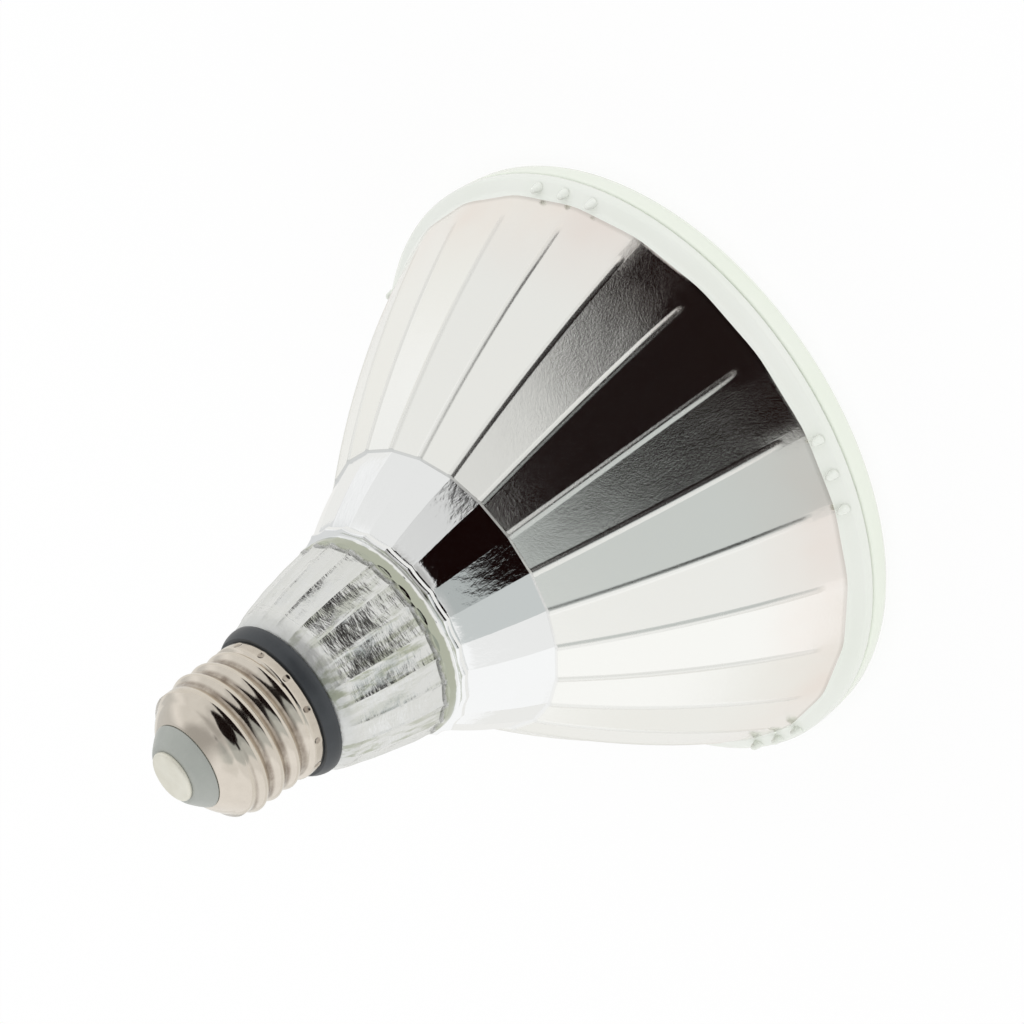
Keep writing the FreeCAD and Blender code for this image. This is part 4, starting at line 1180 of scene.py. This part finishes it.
@dataclass(frozen=True)
class TurnedPiece:
    """A small turned piece of the cap's end.

    Attributes:
        name: the object's name.
        node: the CAD node that it replaces.
        slot: name of a material slot for the piece; not used.
        outline: radius and height of each point, up the outside and back down the bore.
        finish: its finish.
        columns: faces around it.
    """

    name: str
    node: str
    slot: str
    outline: Outline
    finish: Finish
    columns: int = 128

    def build(self) -> None:
        """Make the piece."""
        skin = Skin(self.name)
        whole = self.outline[0][0] <= 0
        skin.stack(turned(self.outline, self.columns), closed=not whole)
        show(skin.build([self.finish.build()], crease=50.0), self.node)


INSULATOR_CONE = TurnedPiece(
    "insulator_cone", "cap_insulator", "insulator",
    [(1.75, 111.7), (7.6, 111.7), (7.7, 112.4), (7.92, 112.92), (8.02, 113.05), (7.9, 113.3),
     (7.35, 114.0), (6.75, 114.7), (6.15, 115.35), (5.8, 115.68), (5.5, 115.84), (5.2, 115.9), (4.0, 115.9),
     (1.75, 115.9)],
    INSULATOR)

CONTACT_DISC = TurnedPiece(
    "contact_disc", "centre_contact", "contact_metal",
    [(0.0, 112.6), (1.3, 112.6), (1.5, 112.8), (1.5, 115.85), (4.5, 115.9), (4.66, 115.98),
     (4.7, 116.15), (4.7, 116.4), (4.62, 116.58), (4.44, 116.68), (4.1, 116.7), (3.4, 116.68),
     (2.4, 116.72), (1.2, 116.78), (0.5, 116.78), (0.0, 116.74)],
    CONTACT)


# Studio

@dataclass(frozen=True)
class Panel:
    """A tall soft panel of the studio, as the bulb's mirror sees it.

    Attributes:
        turn: azimuth of its middle in degrees from +X.
        half_turn: half its width in degrees.
        tone: its colour.
        soft: width in degrees of its soft edges.
    """

    turn: float
    half_turn: float
    tone: str
    soft: float = 12.0


@dataclass(frozen=True)
class Studio:
    """White room with pale panels and one black flag, seen only in reflections, and a white floor.

    Attributes:
        panels: the pale panels.
        flag_turn: azimuth of the black flag's middle in degrees.
        flag_edge: elevation along the flag, and how far it reaches there to either side of its middle,
            towards falling and towards rising azimuth, all in degrees.
        flag_tone: colour of the flag.
        flag_soft: width in degrees of its edge.
        ceiling: colour of the room overhead, on its darker side.
        floor: half the floor's side in metres.
        drop: how far the floor lies under the lamp, in metres.
        paper: colour of the floor.
        glow: share of the floor's brightness that no shadow takes.
        floor_mirrored: painted shade of the floor as mirror and glass see it, a grey glow standing in for the
            floor's shadow near the bulb, and its share.
    """

    panels: tuple[Panel, ...] = (
        Panel(62, 26, "#DDDEDE", 20),
        Panel(-10, 30, "#EDEDEC", 20),
        Panel(-45, 14, "#DCDCDB", 10),
        Panel(-104, 16, "#B4B9B8", 8),
        Panel(-132, 14, "#CBCFCE", 8),
        Panel(-157, 12, "#F1F1F0", 10),
    )
    flag_turn: float = -78.0
    flag_edge: tuple[tuple[float, float, float], ...] = (
        (-5, -9, -9), (-1, 39, 44), (11, 43, 46), (13, 41, 43), (15, 36, 39), (18, 30, 37),
        (22, 30.5, 35.8), (26, 30.5, 34.5), (29, 30, 33), (32, 29, 30), (35, 28, 27), (39, 25.5, 23.5),
        (43, 23, 19.5), (48, 17, 15), (52, 8, 8), (55, -9, -9))
    flag_tone: str = "#100403"
    flag_soft: float = 4.0
    ceiling: str = "#B9B8B6"
    floor: float = 3.0
    drop: float = 0.00005
    paper: str = "#FEFEFE"
    glow: float = 0.8
    floor_mirrored: tuple[str, float] = ("#EDECE8", 0.75)

    def flag(self, graph: Graph, turn: Value, lift: Value) -> Value:
        """Mask the black flag.

        Args:
            graph: the world's graph.
            turn: azimuth in degrees.
            lift: elevation in degrees.
        Returns:
            The mask, 1 on the flag.
        """
        low, high, widest = -90.0, 90.0, 60.0
        ramp = graph.add("ValToRGB", {0: graph.fold("DIVIDE", graph.fold("SUBTRACT", lift, low), high - low)})
        marks = ramp.color_ramp.elements
        while len(marks) < len(self.flag_edge):
            marks.new(0.5)
        for mark, (height, falling, rising) in zip(marks, self.flag_edge):
            mark.position = (height - low) / (high - low)
            mark.color = (0.5 + falling / widest / 2, 0.5 + rising / widest / 2, 0.0, 1.0)
        reach = graph.add("SeparateXYZ", {0: ramp}).outputs
        off = graph.fold("SUBTRACT", turn, self.flag_turn)
        past = [graph.total(widest, (side, -2 * widest), (off, sign))
                for side, sign in ((reach[0], -1.0), (reach[1], 1.0))]
        return graph.mask(*((edge, self.flag_soft / 2, -self.flag_soft / 2) for edge in past))

    def mirrored(self, graph: Graph) -> Value:
        """Tell whether mirror or glass is looking, as 1 or 0."""
        ray = graph.add("LightPath").outputs
        return graph.fold("MAXIMUM", ray["Is Glossy Ray"], ray["Is Transmission Ray"])

    def build_world(self) -> None:
        """Make the world: plain white light, with the studio seen by mirror and glass alone."""
        world = bpy.data.worlds.new("studio_world")
        bpy.context.scene.world = world
        world.use_nodes = True
        graph = Graph(world.node_tree)
        x, y, z = graph.add("SeparateXYZ", {0: graph.add("TexCoord").outputs["Generated"]}).outputs
        turn = graph.add("Math", {0: graph.fold("ARCTAN2", y, x)}, operation="DEGREES")
        lift = graph.add("Math", {0: graph.add("Math", {0: z}, operation="ARCSINE")}, operation="DEGREES")
        tones = []
        for panel in self.panels:
            off = graph.add("Math", {0: graph.fold("SUBTRACT", turn, panel.turn)}, operation="ABSOLUTE")
            inner, outer = panel.half_turn - panel.soft / 2, panel.half_turn + panel.soft / 2
            tones.append((graph.mask((off, outer, inner), (lift, 75.0, 50.0)), panel.tone))
        tones.append((graph.mask((lift, 44.0, 60.0), (x, -0.4, 0.2)), self.ceiling))
        tones.append((self.flag(graph, turn, lift), self.flag_tone))
        room = graph.add("Background", {"Color": graph.layers(WHITE, *tones), "Strength": 1.0})
        white = graph.add("Background", {"Color": srgb(WHITE), "Strength": 1.0})
        mixed = graph.add("MixShader", {0: self.mirrored(graph), 1: white, 2: room})
        graph.add("OutputWorld", {"Surface": mixed})

    def build_floor(self) -> None:
        """Lay the white floor, which keeps a trace of the bulb's soft shadow."""
        mesh = bpy.data.meshes.new("studio_floor")
        corners = [(x * self.floor, y * self.floor, -self.drop)
                   for x, y in ((-1, -1), (1, -1), (1, 1), (-1, 1))]
        mesh.from_pydata(corners, [], [(0, 1, 2, 3)])
        floor = bpy.data.objects.new("studio_floor", mesh)
        bpy.context.scene.collection.objects.link(floor)
        material, graph = new_material("white_paper_sweep")
        paper = graph.add("BsdfDiffuse", {"Color": srgb(self.paper)})
        glow = graph.add("Emission", {"Color": srgb(WHITE), "Strength": 1.0})
        # mirror and glass see the floor as a grey glow: painted shade for its shadow near the bulb
        shaded = graph.add("Emission", {"Color": srgb(self.floor_mirrored[0]), "Strength": 1.0})
        share = graph.fold("MULTIPLY", self.mirrored(graph), self.floor_mirrored[1])
        bright = graph.add("MixShader", {0: self.glow, 1: paper, 2: glow})
        graph.add("OutputMaterial", {"Surface": graph.add("MixShader", {0: share, 1: bright, 2: shaded})})
        mesh.materials.append(material)

    def build(self) -> None:
        """Make the world and the floor."""
        self.build_world()
        self.build_floor()
        bpy.context.scene.view_settings.view_transform = "Standard"


@dataclass(frozen=True)
class Viewpoint:
    """The photograph's camera.

    Attributes:
        place: where the camera stands, in millimetres.
        tilt: angle of its view below the horizon, in radians.
        roll: turn about its view, in radians.
        heading: turn of the whole about +Z, in degrees.
        lens: focal length for a 36 mm sensor.
    """

    place: Point = (-18.84, -447.26, 321.08)
    tilt: float = 0.576
    roll: float = 2.169
    heading: float = -3.0
    lens: float = 102.11

    def build(self) -> None:
        """Make the camera and look through it."""
        data = bpy.data.cameras.new("photo_camera")
        data.lens = self.lens
        data.sensor_width = 36.0
        data.clip_start = 0.01
        data.clip_end = 50.0
        camera = bpy.data.objects.new("photo_camera", data)
        bpy.context.scene.collection.objects.link(camera)
        rise, run = math.sin(self.tilt), math.cos(self.tilt)
        level = Matrix(((1, 0, 0), (0, rise, run), (0, -run, rise)))
        turn, lean = math.cos(self.roll), math.sin(self.roll)
        rolled = Matrix(((turn, -lean, 0), (lean, turn, 0), (0, 0, 1))) @ level
        heading = Matrix.Rotation(math.radians(self.heading), 3, "Z")
        frame_of_view = (heading @ rolled.transposed()).to_4x4()
        camera.matrix_world = Matrix.Translation(Vector(self.place) * MM) @ frame_of_view
        bpy.context.scene.camera = camera


def dress_nodes() -> None:
    """Give every CAD node that stays its finish."""
    for name, finish in NODE_FINISHES.items():
        material = finish.build()
        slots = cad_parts[name].material_slots
        for slot in slots:
            slot.material = material
        if not slots:
            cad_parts[name].data.materials.append(material)
        log.info("%s: %s", name, finish.name)


def main() -> None:
    """Build the scene in order."""
    Viewpoint().build()
    Studio().build()
    dress_nodes()
    for piece in (ReflectorBody(), LensDisc(), CapShell(), INSULATOR_CONE, CONTACT_DISC):
        piece.build()


if __name__ == "__main__":
    main()
